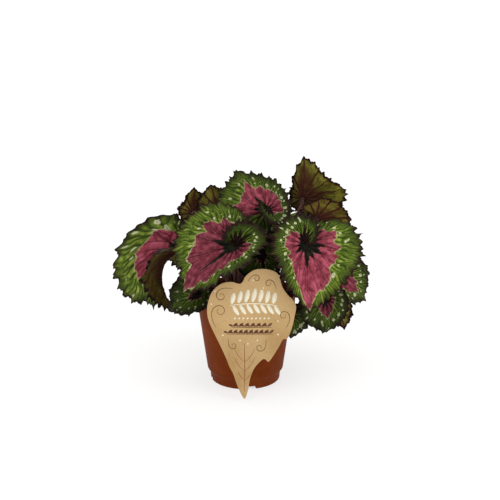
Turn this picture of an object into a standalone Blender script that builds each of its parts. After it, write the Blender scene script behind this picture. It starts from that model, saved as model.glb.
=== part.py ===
"""Potted begonia: nursery pot, peat, crown, spiral leaves on hairy stalks, card tag on a stake.

Metres, +Z up, the foot of the pot on z = 0 and its axis on the Z axis, the tag on the -Y side.
"""
import bpy
import numpy as np
from mathutils import Vector

for old in list(bpy.data.objects):
    bpy.data.objects.remove(old)

# ---------------------------------------------------------------- dimensions
POT_HEIGHT = 0.110
FOOT_RADIUS = 0.042
WALL_LOW_RADIUS = 0.046
WALL_TOP_RADIUS = 0.0575
RIM_RADIUS = 0.060
RIM_HEIGHT = 0.013
WALL = 0.0016
FLOOR_Z = 0.0055
PAD_RADIUS = 0.010
STEP_Z = 0.014
SOIL_TOP = 0.097
GAP = 0.0003
JOIN = 0.0003
NECK = 0.005
FLARE = 0.0008
LEAF_THICK = 0.0011
HUB = 0.0026
PLAIN_END = 165.0
SCROLL_END = 325.0
CARD_TILT = 0.144
CARD_THICK = 0.0008
CARD_FOOT_Y = -0.0775
CARD_FOOT_Z = 0.004


# ---------------------------------------------------------------- helpers
def rgb(code):
    c = np.array([int(code[i:i + 2], 16) for i in (1, 3, 5)]) / 255.0
    return tuple(np.where(c < 0.04045, c / 12.92, ((c + 0.055) / 1.055) ** 2.4)) + (1.0,)


def material(name, code, rough):
    m = bpy.data.materials.new(name)
    m.use_nodes = True
    shader = m.node_tree.nodes["Principled BSDF"]
    shader.inputs["Base Color"].default_value = rgb(code)
    shader.inputs["Roughness"].default_value = rough
    return m


def body(name, verts, faces, mat):
    mesh = bpy.data.meshes.new(name)
    mesh.from_pydata([tuple(float(c) for c in v) for v in verts], [], [tuple(int(i) for i in f) for f in faces])
    mesh.update()
    obj = bpy.data.objects.new(name, mesh)
    obj.data.materials.append(mat)
    bpy.context.scene.collection.objects.link(obj)
    return obj


def unit(v):
    v = np.asarray(v, float)
    return v / np.linalg.norm(v)


def smooth(x):
    x = np.clip(x, 0.0, 1.0)
    return x * x * (3.0 - 2.0 * x)


def lathe(profile, count):
    """Profile from one flat end to the other turned about Z; each end ring is closed by one flat face."""
    th = np.linspace(0.0, 2.0 * np.pi, count, endpoint=False)
    verts = [(r * np.cos(t), r * np.sin(t), z) for r, z in profile for t in th]
    rings = [list(range(k * count, (k + 1) * count)) for k in range(len(profile))]
    faces = [rings[0][::-1], rings[-1]]
    for a, b in zip(rings, rings[1:]):
        faces += [[a[i], a[(i + 1) % count], b[(i + 1) % count], b[i]] for i in range(count)]
    return verts, faces


# ---------------------------------------------------------------- leaf shape
def outline(turn, leaf):
    """Margin radius as a share of the leaf's length; turn in degrees from the tip, + on the spiral side."""
    a = np.abs(turn)
    w = 0.50 + 0.33 * np.cos(np.radians(np.minimum(a, 180.0)) / 2.0) ** 2
    w = w * (1.0 - leaf["skew"] * np.sin(np.radians(np.clip(turn, -180.0, 180.0))))
    w = w * (1.0 - leaf["point"] * np.sin(np.radians(2.0 * np.minimum(a, 90.0))) ** 2)
    w = w * (1.0 - leaf["trim"] * smooth((-turn - 35.0) / 75.0))
    w = w + 0.17 * np.exp(-a / 9.0)
    w = w * (1.0 - leaf["taper"] * smooth((turn - 130.0) / (SCROLL_END - 130.0)))
    return w * (1.0 - 0.30 * smooth((-turn - 125.0) / (PLAIN_END - 125.0)))


def bent(slope, span):
    """Follow a curve whose slope angle is known along its length."""
    s = np.linspace(0.0, span, 240)
    a = slope(s)
    step = s[1] - s[0]
    along = np.concatenate([[0.0], np.cumsum(np.cos((a[1:] + a[:-1]) / 2.0)) * step])
    up = np.concatenate([[0.0], np.cumsum(np.sin((a[1:] + a[:-1]) / 2.0)) * step])
    return s, along, up, a


def blade(turn, reach, leaf):
    """Point of the leaf's upper face: turn in degrees about the stalk, reach 0 at the stalk to 1 at the margin."""
    length = leaf["length"]
    out = (outline(turn, leaf) * length - HUB) * reach
    s = smooth((turn - 105.0) / (SCROLL_END - 105.0))
    lift = np.radians(leaf["cup"]) * s - np.radians(8.0) * smooth((-turn - 80.0) / (PLAIN_END - 80.0))
    flat = HUB + out * np.cos(lift)
    t = np.radians(turn)
    x, y = flat * np.cos(t), flat * np.sin(t)
    z = leaf["rise"] * s + out * np.sin(lift)
    z = z + leaf["ruffle"] * length * reach ** 3 * np.sin(7.0 * t + leaf["phase"])
    z = z - 0.05 * length * reach ** 4
    z = z + 0.05 * length * (1.0 - (1.0 - reach) ** 2) * smooth((160.0 - np.abs(turn)) / 60.0)
    y2, z2 = y.copy(), z.copy()
    for side, fold in ((1.0, leaf["fold"][0]), (-1.0, leaf["fold"][1])):
        m = (y >= 0.0) if side > 0 else (y < 0.0)
        f, crease = np.radians(fold), leaf["crease"] * length
        s_, u, v, a = bent(lambda q: f * (1.0 - np.exp(-q / crease)), 1.1 * length)
        q = np.abs(y[m])
        A = np.interp(q, s_, a)
        y2[m] = side * (np.interp(q, s_, u) - z[m] * np.sin(A))
        z2[m] = np.interp(q, s_, v) + z[m] * np.cos(A)
    x2, z3 = x.copy(), z2.copy()
    fall, width, hook = np.radians(leaf["fall"]), leaf["fall_width"] * length, np.radians(leaf["hook"])
    s_, u, v, a = bent(lambda q: fall * (1.0 - np.exp(-q / width)) / (1.0 - np.exp(-length / width))
                       + hook * smooth((q / length - 0.72) / 0.28), 1.15 * length)
    m = x >= 0.0
    A = np.interp(x[m], s_, a)
    x2[m] = np.interp(x[m], s_, u) + z2[m] * np.sin(A)
    z3[m] = z2[m] * np.cos(A) - np.interp(x[m], s_, v)
    back = np.radians(20.0)
    s_, u, v, a = bent(lambda q: back * q / length, 1.1 * length)
    m = ~m
    A = np.interp(-x[m], s_, a)
    x2[m] = -np.interp(-x[m], s_, u) - z2[m] * np.sin(A)
    z3[m] = z2[m] * np.cos(A) - np.interp(-x[m], s_, v)
    return x2, y2 * leaf["hand"], z3


def axes_of(leaf):
    along = unit(leaf["along"])
    face = np.asarray(leaf["face"], float)
    face = unit(face - np.dot(face, along) * along)
    return np.stack([along, np.cross(face, along), face])


def leaf_surface(leaf, turns, reaches):
    T, R = np.meshgrid(turns, reaches, indexing="ij")
    x, y, z = blade(T, R, leaf)
    axes = axes_of(leaf)
    return np.asarray(leaf["at"]) / 1000.0 + x[..., None] * axes[0] + y[..., None] * axes[1] + z[..., None] * axes[2]


def leaf_body(name, leaf, mat):
    """A thin closed sheet: upper grid, lower grid one thickness below, rim all round."""
    turns = np.concatenate([np.linspace(-PLAIN_END, -20.0, 11), [-8.0, 0.0, 8.0], np.linspace(20.0, leaf["wind"], 20)])
    reaches = np.array([0.0, 0.34, 0.68, 1.0])
    top = leaf_surface(leaf, turns, reaches)
    du = np.gradient(top, axis=0)
    dv = np.gradient(top, axis=1)
    n = np.cross(dv, du) * leaf["hand"]
    n = n / np.linalg.norm(n, axis=-1, keepdims=True)
    low = top - n * LEAF_THICK
    rows, cols = top.shape[:2]
    idx = np.arange(rows * cols).reshape(rows, cols)
    off = rows * cols
    a, b, c, d = idx[:-1, :-1], idx[1:, :-1], idx[1:, 1:], idx[:-1, 1:]
    tris = np.concatenate([np.stack([a, d, c], -1).reshape(-1, 3), np.stack([a, c, b], -1).reshape(-1, 3)])
    faces = [list(q) for q in tris] + [[off + i for i in q[::-1]] for q in tris]
    ring = list(idx[0, :]) + list(idx[1:, -1]) + list(idx[-1, ::-1][1:]) + list(idx[::-1, 0][1:-1])
    for i, p in enumerate(ring):
        q = ring[(i + 1) % len(ring)]
        faces.append([q, p, off + p, off + q])
    if leaf["hand"] < 0:
        faces = [f[::-1] for f in faces]
    verts = np.concatenate([top.reshape(-1, 3), low.reshape(-1, 3)])
    body(name, verts, faces, mat)
    axes, near = axes_of(leaf), turns < 200.0
    inner = (low[near, 0] - np.asarray(leaf["at"]) / 1000.0) @ axes.T
    outer = (low[near, 1] - np.asarray(leaf["at"]) / 1000.0) @ axes.T
    r0, r1 = np.hypot(inner[:, 0], inner[:, 1]), np.hypot(outer[:, 0], outer[:, 1])
    w = np.clip((HUB + FLARE - r0) / (r1 - r0), 0.0, 1.0)
    return min(np.min(inner[:, 2]), np.min(inner[:, 2] + (outer[:, 2] - inner[:, 2]) * w))


# ---------------------------------------------------------------- stalks
def stalk_points(leaf, under, count):
    """From the crown up to the underside of the leaf's hub, meeting it square with a short flared neck."""
    axes = axes_of(leaf)
    tip = np.asarray(leaf["at"]) / 1000.0 + axes[2] * (under - JOIN)
    end = tip - axes[2] * NECK
    start = np.array([leaf["root"][0] / 1000.0, leaf["root"][1] / 1000.0, SOIL_TOP + GAP])
    span = np.linalg.norm(end - start)
    p1 = start + np.array([0.0, 0.0, 1.0]) * span * leaf["stem"][0] + (end - start) * 0.12 * np.array([1, 1, 0])
    p2 = end - axes[2] * span * leaf["stem"][1] + np.array([0.0, 0.0, leaf["stem"][2]])
    t = np.linspace(0.0, 1.0, count)[:, None]
    line = (1 - t) ** 3 * start + 3 * (1 - t) ** 2 * t * p1 + 3 * (1 - t) * t ** 2 * p2 + t ** 3 * end
    return np.concatenate([line, [tip - axes[2] * 0.35 * NECK, tip]])


def tube(points, radii, sides):
    tang = np.gradient(points, axis=0)
    tang = tang / np.linalg.norm(tang, axis=1, keepdims=True)
    ref = unit(np.cross(tang[0], [0.31, 0.17, 0.93]))
    th = np.linspace(0.0, 2.0 * np.pi, sides, endpoint=False)
    rings = []
    for p, t, r in zip(points, tang, radii):
        ref = unit(ref - np.dot(ref, t) * t)
        other = np.cross(t, ref)
        rings.append(p + r * (np.cos(th)[:, None] * ref + np.sin(th)[:, None] * other))
    verts = np.concatenate(rings)
    faces = []
    for k in range(len(points) - 1):
        for i in range(sides):
            j = (i + 1) % sides
            faces.append([k * sides + i, k * sides + j, (k + 1) * sides + j, (k + 1) * sides + i])
    faces.append(list(range(sides))[::-1])
    faces.append([(len(points) - 1) * sides + i for i in range(sides)])
    return verts, faces


def leaf(at, along, face, length, hand, fold, root, fall=20.0, fall_width=0.8, hook=20.0, cup=62.0,
         rise=0.011, taper=0.60, skew=0.12, ruffle=0.02, phase=0.0, crease=0.10, wind=SCROLL_END,
         stem=(0.30, 0.22, 0.0), point=0.0, trim=0.0):
    return dict(at=at, along=along, face=face, length=length / 1000.0, hand=hand, fold=fold, root=root, fall=fall,
                fall_width=fall_width, hook=hook, cup=cup, rise=rise, taper=taper, skew=skew, ruffle=ruffle,
                phase=phase, crease=crease, wind=wind, stem=stem, point=point, trim=trim)


# positions and lengths in millimetres, folds and bends in degrees
LEAVES = {
    "front_left": leaf((-12, -50, 181), (-0.82, -0.30, -0.48), (-0.25, -0.80, 0.58), 79, 1, (46, 8),
                       (-12, -22), fall=25, cup=66, taper=0.52, skew=0.16, phase=0.5),
    "front_right": leaf((69, -44, 182), (0.07, -0.62, -0.78), (0.12, -0.80, 0.60), 77, -1, (22, 12),
                        (24, -20), fall=15, hook=30, skew=0.22, phase=1.5, point=0.11),
    "far_left": leaf((-80, 4, 157), (-0.92, -0.12, -0.12), (-0.20, -0.20, 0.95), 88, 1, (50, 78),
                     (-26, -4), fall=100, fall_width=0.24, hook=4, phase=0.2, crease=0.09, skew=0.30, cup=36,
                     rise=0.008, taper=0.85, wind=215.0, trim=0.44),
    "top": leaf((25, -2, 211), (-0.62, 0.58, 0.58), (-0.06, -0.62, 0.78), 62, -1, (16, 6), (12, -10),
                fall=-14, hook=-20, phase=2.2, skew=0.26, taper=0.45),
    "top_right": leaf((69, 32, 217), (-0.02, -0.35, 0.90), (0.10, 0.92, 0.38), 52, -1, (30, 8), (14, 12),
                      fall=-26, fall_width=0.5, hook=-10, phase=0.9, skew=0.46, crease=0.07, point=0.28,
                      cup=36, rise=0.008, taper=0.85, wind=215.0),
    "top_left": leaf((-64, 50, 194), (0.06, 0.05, 0.98), (-0.10, 0.95, 0.05), 32, -1, (34, 34),
                     (-29, 29), fall=10, hook=10, phase=0.9, crease=0.2, point=0.25, cup=36, rise=0.006,
                     taper=0.8, wind=215.0, stem=(0.35, 0.08, 0.0)),
    "low_right": leaf((94, -42, 116), (0.10, -0.42, -0.88), (0.15, -0.78, 0.62), 42, 1, (24, 6),
                      (30, -12), fall=15, hook=40, phase=3.9, stem=(0.50, 0.06, 0.0)),
    "far_right": leaf((110, -2, 128), (0.85, -0.15, -0.50), (0.35, -0.75, 0.55), 46, -1, (20, 14),
                      (32, -2), fall=25, phase=1.1),
    "low_left": leaf((-56, -36, 117), (-0.80, -0.30, -0.25), (-0.25, -0.80, 0.55), 38, 1, (27, 6),
                     (-24, -20), fall=25, hook=60, phase=1.1, stem=(0.52, 0.08, 0.0)),
    "low_centre": leaf((54, -51, 99), (0.02, -0.10, -0.99), (0.35, -0.92, 0.10), 29, -1, (25, 3),
                       (24, -26), fall=5, hook=10, cup=45, rise=0.007, phase=1.1, wind=235.0, stem=(0.42, 0.0, 0.030)),
    "right_fold": leaf((106, -28, 100), (0.45, 0.10, -0.85), (0.30, 0.90, 0.20), 30, -1, (20, 20),
                       (38, -8), fall=5, hook=10, cup=36, rise=0.006, phase=0.4, taper=0.8, wind=215.0,
                       stem=(0.55, 0.1, 0.0)),
    "side_right": leaf((86, 6, 200), (0.80, 0.05, -0.20), (0.10, 0.70, 0.70), 48, -1, (34, 8), (30, 6),
                       fall=30, hook=20, phase=3.1),
    "rear_left": leaf((-32, 36, 201), (-0.30, 0.20, 0.90), (-0.20, 0.92, 0.20), 33, 1, (26, 20),
                      (-13, 18), fall=0, hook=-10, phase=2.0, cup=40, rise=0.007, taper=0.8, wind=235.0),
    "centre": leaf((20, -15, 161), (0.12, -0.45, -0.88), (0.05, -0.85, 0.50), 40, 1, (28, 5), (0, -21),
                   fall=10, phase=2.0, cup=40, rise=0.007, taper=0.8, wind=235.0),
    "back_left": leaf((-36, 82, 142), (-0.45, 0.78, -0.40), (-0.25, 0.50, 0.85), 76, -1, (22, 16),
                      (-18, 20), fall=45, phase=0.3),
    "back_centre": leaf((24, 78, 168), (0.15, 0.90, -0.38), (0.05, 0.45, 0.88), 82, 1, (20, 24),
                        (2, 22), fall=55, phase=1.9),
    "back_right": leaf((92, 55, 142), (0.75, 0.55, -0.35), (0.40, 0.30, 0.86), 72, -1, (26, 18),
                       (24, 13), fall=50, phase=2.6),
    "low_back": leaf((-2, 84, 112), (-0.10, 0.85, -0.50), (0.0, 0.60, 0.80), 50, -1, (18, 18),
                     (-8, 30), fall=35, phase=5.0, wind=290.0, stem=(0.66, 0.06, 0.0)),
}

# ---------------------------------------------------------------- materials
POT_MAT = material("pot_plastic", "#8a4424", 0.45)
SOIL_MAT = material("peat", "#20150e", 0.95)
CROWN_MAT = material("crown_skin", "#4a2418", 0.8)
LEAF_MAT = material("leaf_skin", "#4c7a22", 0.5)
STALK_MAT = material("stalk_skin", "#5a1c1a", 0.6)
CARD_MAT = material("tag_card", "#bfa468", 0.85)
STAKE_MAT = material("stake_plastic", "#b89a5a", 0.5)


# ---------------------------------------------------------------- pot
def make_pot():
    inner = lambda z: WALL_LOW_RADIUS + (WALL_TOP_RADIUS - WALL_LOW_RADIUS) * (z - STEP_Z) / (
        POT_HEIGHT - RIM_HEIGHT - STEP_Z) - WALL
    rim_low = POT_HEIGHT - RIM_HEIGHT
    profile = [(PAD_RADIUS, 0.0), (PAD_RADIUS + 0.002, FLOOR_Z), (FOOT_RADIUS - 0.005, FLOOR_Z),
               (FOOT_RADIUS - 0.0045, 0.0), (FOOT_RADIUS - 0.001, 0.0),
               (FOOT_RADIUS, 0.001), (FOOT_RADIUS + 0.001, STEP_Z - 0.003), (WALL_LOW_RADIUS, STEP_Z),
               (WALL_TOP_RADIUS, rim_low), (RIM_RADIUS - 0.0006, rim_low), (RIM_RADIUS, rim_low + 0.001),
               (RIM_RADIUS + 0.0004, POT_HEIGHT - 0.001), (RIM_RADIUS - 0.0004, POT_HEIGHT),
               (RIM_RADIUS - 0.0014, POT_HEIGHT - 0.0002), (RIM_RADIUS - 0.002, POT_HEIGHT - 0.002),
               (inner(rim_low), rim_low - 0.001), (inner(STEP_Z + 0.002), STEP_Z + 0.002),
               (FOOT_RADIUS - 0.0010, STEP_Z - 0.0015), (FOOT_RADIUS - 0.0025, FLOOR_Z + 0.0035),
               (FOOT_RADIUS - 0.004, FLOOR_Z + WALL), (PAD_RADIUS + 0.001, FLOOR_Z + WALL), (PAD_RADIUS - 0.001, WALL)]
    verts, faces = lathe(profile, 48)
    pot = body("pot", verts, faces, POT_MAT)
    cutters = []
    for k in range(4):
        ang = np.radians(-78.0 + 90.0 * k)
        cutters.append(("notch", (0.0395 * np.cos(ang), 0.0395 * np.sin(ang), 0.0), ang))
    for k in range(4):
        ang = np.radians(-33.0 + 90.0 * k)
        cutters.append(("drain", (0.024 * np.cos(ang), 0.024 * np.sin(ang), 0.006), ang))
    for kind, where, ang in cutters:
        if kind == "notch":
            bpy.ops.mesh.primitive_cube_add(size=1.0, location=where, rotation=(0.0, 0.0, ang))
            cut = bpy.context.object
            cut.scale = (0.014, 0.010, 0.0076)
        else:
            bpy.ops.mesh.primitive_cylinder_add(vertices=12, radius=0.0045, depth=0.006, location=where)
            cut = bpy.context.object
        cut.name = "cut_" + kind
        cut.hide_render = True
        cut.display_type = "WIRE"
        mod = pot.modifiers.new("cut", "BOOLEAN")
        mod.operation = "DIFFERENCE"
        mod.solver = "EXACT"
        mod.object = cut
    return pot


def make_soil():
    low, high = FLOOR_Z + WALL + 0.0006, SOIL_TOP
    at = lambda z: WALL_LOW_RADIUS + (WALL_TOP_RADIUS - WALL_LOW_RADIUS) * (z - STEP_Z) / (
        POT_HEIGHT - RIM_HEIGHT - STEP_Z) - WALL - 0.0008
    profile = [(PAD_RADIUS - 0.002, WALL + 0.0006), (PAD_RADIUS, low), (FOOT_RADIUS - 0.0062, low),
               (FOOT_RADIUS - 0.0032, STEP_Z - 0.002), (at(0.022), 0.022),
               (at(high - 0.004), high - 0.004), (at(high - 0.004) - 0.004, high - 0.001), (0.030, high)]
    verts, faces = lathe(profile, 40)
    return body("soil", verts, faces, SOIL_MAT)


def make_crown():
    th = np.linspace(0.0, 2.0 * np.pi, 16, endpoint=False)
    base = SOIL_TOP + GAP
    rows = [(0.0140, 0.0), (0.0150, 0.004), (0.0125, 0.009), (0.0070, 0.0125)]
    verts = []
    for r, h in rows:
        rr = r * (1.0 + 0.14 * np.sin(3.0 * th + 0.4) + 0.07 * np.sin(5.0 * th))
        verts += [(0.85 * q * np.cos(t), 0.42 * q * np.sin(t) + 0.003, base + h) for q, t in zip(rr, th)]
    verts.append((0.0, 0.003, base + 0.0135))
    faces = [list(range(16))[::-1]]
    for k in range(len(rows) - 1):
        faces += [[k * 16 + i, k * 16 + (i + 1) % 16, (k + 1) * 16 + (i + 1) % 16, (k + 1) * 16 + i] for i in range(16)]
    top = (len(rows) - 1) * 16
    faces += [[top + i, top + (i + 1) % 16, len(verts) - 1] for i in range(16)]
    return body("crown", verts, faces, CROWN_MAT)


# ---------------------------------------------------------------- tag
# outline of the card, millimetres across and up its own face, from the point at the bottom round to the right
CARD_EDGE = [(-1, 0), (3, 9), (5, 24), (10, 34), (22, 42), (29, 50), (38, 52), (49, 74), (56, 84), (59, 98), (58, 112),
             (54, 121), (45, 128), (32, 133), (28, 146), (14, 152), (4, 150), (-2, 141), (-6, 132), (-20, 134),
             (-32, 132), (-40, 126), (-43, 116), (-47, 104), (-45, 92), (-36, 72), (-26, 48), (-18, 38), (-13, 22),
             (-8, 10)]


def card_point(u, v, depth):
    """Across, up and behind the card's front face, metres."""
    up = unit((0.0, CARD_TILT, 1.0))
    back = unit((0.0, 1.0, -CARD_TILT))
    return np.array([u, CARD_FOOT_Y, CARD_FOOT_Z]) + up * v + back * depth


def make_card():
    n = len(CARD_EDGE)
    verts = [card_point(u / 1000.0, v / 1000.0, 0.0) for u, v in CARD_EDGE]
    verts += [card_point(u / 1000.0, v / 1000.0, CARD_THICK) for u, v in CARD_EDGE]
    faces = [list(range(n)), list(range(2 * n - 1, n - 1, -1))]
    faces += [[(i + 1) % n, i, n + i, n + (i + 1) % n] for i in range(n)]
    return body("tag_card", verts, faces, CARD_MAT)


def make_stake():
    """Flat strip from the peat up behind the card, its head bent forward to the card's back."""
    line = [(-0.0462, SOIL_TOP - 0.0005), (-0.0470, 0.112), (-0.0500, 0.128), (-0.0568, 0.140), (-0.05565, 0.148)]
    verts = []
    for y, z in line:
        for x, d in ((0.011, 0.0), (0.017, 0.0), (0.017, 0.0012), (0.011, 0.0012)):
            verts.append((x, y + d, z))
    faces = [[0, 3, 2, 1]]
    for k in range(len(line) - 1):
        faces += [[4 * k + i, 4 * k + (i + 1) % 4, 4 * k + 4 + (i + 1) % 4, 4 * k + 4 + i] for i in range(4)]
    top = 4 * (len(line) - 1)
    faces.append([top, top + 1, top + 2, top + 3])
    return body("tag_stake", verts, faces, STAKE_MAT)


make_pot()
make_soil()
make_crown()
make_card()
make_stake()
for key, spec in LEAVES.items():
    under = leaf_body("leaf_" + key, spec, LEAF_MAT)
    pts = stalk_points(spec, under, 9)
    thick = 0.0016 + 0.016 * spec["length"]
    v, f = tube(pts, np.append(np.linspace(thick, thick * 0.66, 9), [thick * 0.7, HUB + FLARE]), 8)
    v[:8, 2] = SOIL_TOP + GAP
    body("stalk_" + key, v, f, STALK_MAT)
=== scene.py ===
# %% [markdown]
# # A potted begonia, dressed
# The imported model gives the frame: a nursery pot with peat, a crown, eighteen leaves on stalks, and a card tag on a
# stake. This lesson gives every piece its finish. The leaves are the main work. Their puckers, teeth, veins and
# coloured zones are all functions of two numbers: how far round the stalk a point lies, and how far out.

# %% Load the frame
import bmesh
import bpy
import numpy as np
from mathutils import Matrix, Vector


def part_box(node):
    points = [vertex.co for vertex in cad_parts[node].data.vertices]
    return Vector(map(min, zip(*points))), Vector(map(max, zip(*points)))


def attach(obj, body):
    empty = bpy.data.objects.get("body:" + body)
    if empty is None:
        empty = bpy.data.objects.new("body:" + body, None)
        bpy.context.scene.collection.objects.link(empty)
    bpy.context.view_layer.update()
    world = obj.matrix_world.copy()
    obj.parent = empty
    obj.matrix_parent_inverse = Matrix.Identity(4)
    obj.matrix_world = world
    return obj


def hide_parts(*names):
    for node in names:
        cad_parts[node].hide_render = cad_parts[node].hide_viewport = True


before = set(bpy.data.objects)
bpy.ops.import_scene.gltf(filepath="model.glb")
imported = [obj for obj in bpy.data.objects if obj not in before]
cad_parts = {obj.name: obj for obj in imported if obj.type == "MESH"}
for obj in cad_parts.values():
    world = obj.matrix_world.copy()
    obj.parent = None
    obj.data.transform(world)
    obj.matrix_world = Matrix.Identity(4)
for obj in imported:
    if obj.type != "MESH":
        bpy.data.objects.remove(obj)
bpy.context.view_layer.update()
MM = 0.001  # metres
print("frame:", len(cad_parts), "nodes")

# %% [markdown]
# ## Small helpers
# A material here is skin, card, peat or plastic, and all of them are coloured the same way: a base colour with other
# colours laid over it wherever some value is high. Each could be built by hand in the shader editor, but then nothing
# would repeat exactly. So one function adds a node with its settings and links, and one lays colours over each other.
# Colours are written as sRGB hex and turned linear in one place, and patterns are given by the size of their grain.


# %% Colour and node helpers
def linear(code):
    """sRGB hex to linear RGBA: each channel divided by 12.92 when dark, else raised to the power 2.4."""
    c = np.array([int(code[i:i + 2], 16) for i in (1, 3, 5)]) / 255.0
    return (*np.where(c < 0.04045, c / 12.92, ((c + 0.055) / 1.055) ** 2.4), 1.0)


def add(tree, kind, links=None, out=0, **settings):
    """Adds a node; links maps an input to a socket, a hex colour or a number. Returns the output asked for."""
    node = tree.nodes.new("ShaderNode" + kind)
    for key, value in settings.items():
        setattr(node, key, value)
    for key, value in (links or {}).items():
        socket = node.inputs[key]
        if isinstance(value, bpy.types.NodeSocket):
            tree.links.new(value, socket)
        else:
            socket.default_value = linear(value) if isinstance(value, str) else value
    return node.outputs[out]


def layered(tree, base, *layers):
    """Lays colours over a base in turn. A layer is a colour, its greatest share and any masks (value, low, high), all
    multiplied: a mask rises smoothly from 0 at low to 1 at high, or falls where low is the larger."""
    # sockets by position: MapRange 0 value, 1 and 2 from, 3 and 4 to; Mix 0 share, 6 and 7 colours, output 2 colour
    for colour, share, *masks in layers:
        for value, low, high in masks:
            share = add(tree, "MapRange", {0: value, 1: low, 2: high, 4: share}, interpolation_type="SMOOTHSTEP")
        base = add(tree, "Mix", {0: share, 6: base, 7: colour}, out=2, data_type="RGBA")
    return base


def per_m(*grain_mm):
    """How often a grain of so many millimetres repeats in a metre, for patterns on Object coordinates."""
    scales = tuple(1.0 / (size * MM) for size in grain_mm)
    return scales if len(scales) > 1 else scales[0]


def new_material(name, roughness, **sockets):
    """An empty Principled material: (material, its tree, its shader)."""
    material = bpy.data.materials.new(name)
    material.use_nodes = True
    shader = material.node_tree.nodes["Principled BSDF"]
    shader.inputs["Roughness"].default_value = roughness
    for key, value in sockets.items():
        shader.inputs[key.replace("_", " ")].default_value = value
    return material, material.node_tree, shader


def finish(tree, shader, colour, height=None, strength=0.0, deep_mm=0.0):
    """Gives a shader its colour and, where there is a height, a relief so many mm deep."""
    tree.links.new(colour, shader.inputs["Base Color"])
    if height is not None:
        bump = add(tree, "Bump", {"Strength": strength, "Distance": deep_mm * MM, "Height": height})
        tree.links.new(bump, shader.inputs["Normal"])


print("mid grey is", round(float(linear("#808080")[0]), 3), "in linear light")


# %% Mesh helpers
def piece(name, verts, faces, materials, nodes, second=None, crease=None):
    """A mesh object at the origin that rides on the body and stands for the CAD nodes given. A slice of its faces may
    take the second material, and edges bent by more than `crease` degrees stay sharp."""
    mesh = bpy.data.meshes.new(name)
    mesh.from_pydata(np.asarray(verts).tolist(), [], [list(f) for f in faces])
    mesh.validate()
    mesh.shade_smooth()
    if crease:
        mesh.set_sharp_from_angle(angle=np.radians(crease))
    if second:
        index = np.zeros(len(mesh.polygons), np.int32)
        index[second] = 1
        mesh.polygons.foreach_set("material_index", index)
    obj = bpy.data.objects.new(name, mesh)
    for m in materials:
        mesh.materials.append(m)
    bpy.context.scene.collection.objects.link(obj)
    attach(obj, "root")
    if nodes:
        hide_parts(*nodes)
    return obj


def grid_quads(rows, cols, wrap=False):
    """Quads of a rows x cols grid of vertices, row by row; wrap joins the last row to the first."""
    idx = np.arange(rows * cols).reshape(rows, cols)
    nxt = np.roll(idx, -1, 0) if wrap else idx[1:]
    idx = idx if wrap else idx[:-1]
    return np.stack([idx[:, :-1], nxt[:, :-1], nxt[:, 1:], idx[:, 1:]], -1).reshape(-1, 4)


def ring_quads(idx):
    """Quads between rings of vertex numbers, one ring to a row, each ring closed on itself."""
    nxt = np.roll(idx, -1, 1)
    return np.stack([idx[:-1], nxt[:-1], nxt[1:], idx[1:]], -1).reshape(-1, 4)


def smooth(x):
    """Eases from 0 to 1."""
    x = np.clip(x, 0.0, 1.0)
    return x * x * (3.0 - 2.0 * x)


def unit(v):
    """A vector divided by its length."""
    v = np.asarray(v, float)
    return v / np.linalg.norm(v)


def cloud(x, y, seed):
    """Value noise from 0 to 1: random heights on a unit lattice, eased between."""
    table = np.random.default_rng(seed).random((64, 64))
    i, j = np.floor(x).astype(int), np.floor(y).astype(int)
    u, v = smooth(x - i), smooth(y - j)
    a = table[i % 64, j % 64] * (1 - u) + table[(i + 1) % 64, j % 64] * u
    b = table[i % 64, (j + 1) % 64] * (1 - u) + table[(i + 1) % 64, (j + 1) % 64] * u
    return a * (1 - v) + b * v


print("a 3 by 4 grid has", len(grid_quads(3, 4)), "quads; its noise is", round(float(cloud(0.5, 0.5, 1)), 2))

# %% [markdown]
# ## The leaves' shape
# A leaf of this begonia is a lopsided heart whose one basal lobe winds over the stalk like a snail shell. It could be
# sculpted, or cut from a flat sheet and bent by hand, but eighteen of them differ only in a few measures. So the leaf
# is a fan about the stalk: `turn` goes from the end of the plain lobe, past the tip at 0, and on round the spiral
# lobe; `reach` goes from the stalk to the margin. The sheet is cupped at the spiral, folded along the midrib, then
# bent down along it. These are the same steps as in the part's own source, so the fine leaf lies on the plain one.

# %% Leaf shape
HUB = 0.0026         # radius of the hub over the stalk, in metres
PLAIN_END = 165.0    # degrees from the tip to the end of the plain lobe
SCROLL_END = 325.0   # degrees from the tip to the end of the longest spiral lobe
BEND_STEPS = 240     # short straight steps that stand for a bend
BACK_BEND = 20.0     # degrees by which the part behind the stalk bends down


def outline(turn, leaf):
    """Margin radius as a share of the leaf's length: a heart, wider on the plain side, with a drawn-out tip."""
    a = np.abs(turn)
    w = 0.50 + 0.33 * np.cos(np.radians(np.minimum(a, 180.0)) / 2.0) ** 2
    w = w * (1.0 - leaf["skew"] * np.sin(np.radians(np.clip(turn, -180.0, 180.0))))
    w = w * (1.0 - leaf["point"] * np.sin(np.radians(2.0 * np.minimum(a, 90.0))) ** 2)
    w = w * (1.0 - leaf["trim"] * smooth((-turn - 35.0) / 75.0))
    w = w + 0.17 * np.exp(-a / 9.0)
    w = w * (1.0 - leaf["taper"] * smooth((turn - 130.0) / (SCROLL_END - 130.0)))
    return w * (1.0 - 0.30 * smooth((-turn - 125.0) / (PLAIN_END - 125.0)))


def bent(slope, span):
    """A curve whose slope angle is known along its length: lengths, along, up and angle."""
    s = np.linspace(0.0, span, BEND_STEPS)
    a = slope(s)
    step = s[1] - s[0]
    along = np.concatenate([[0.0], np.cumsum(np.cos((a[1:] + a[:-1]) / 2.0)) * step])
    up = np.concatenate([[0.0], np.cumsum(np.sin((a[1:] + a[:-1]) / 2.0)) * step])
    return s, along, up, a


def carried(q, z, slope, span):
    """Points q along a straight line and z above it, once the line has been bent: how far along and up they are."""
    s, along, up, a = bent(slope, span)
    lean = np.interp(q, s, a)
    return np.interp(q, s, along) - z * np.sin(lean), np.interp(q, s, up) + z * np.cos(lean)


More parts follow.
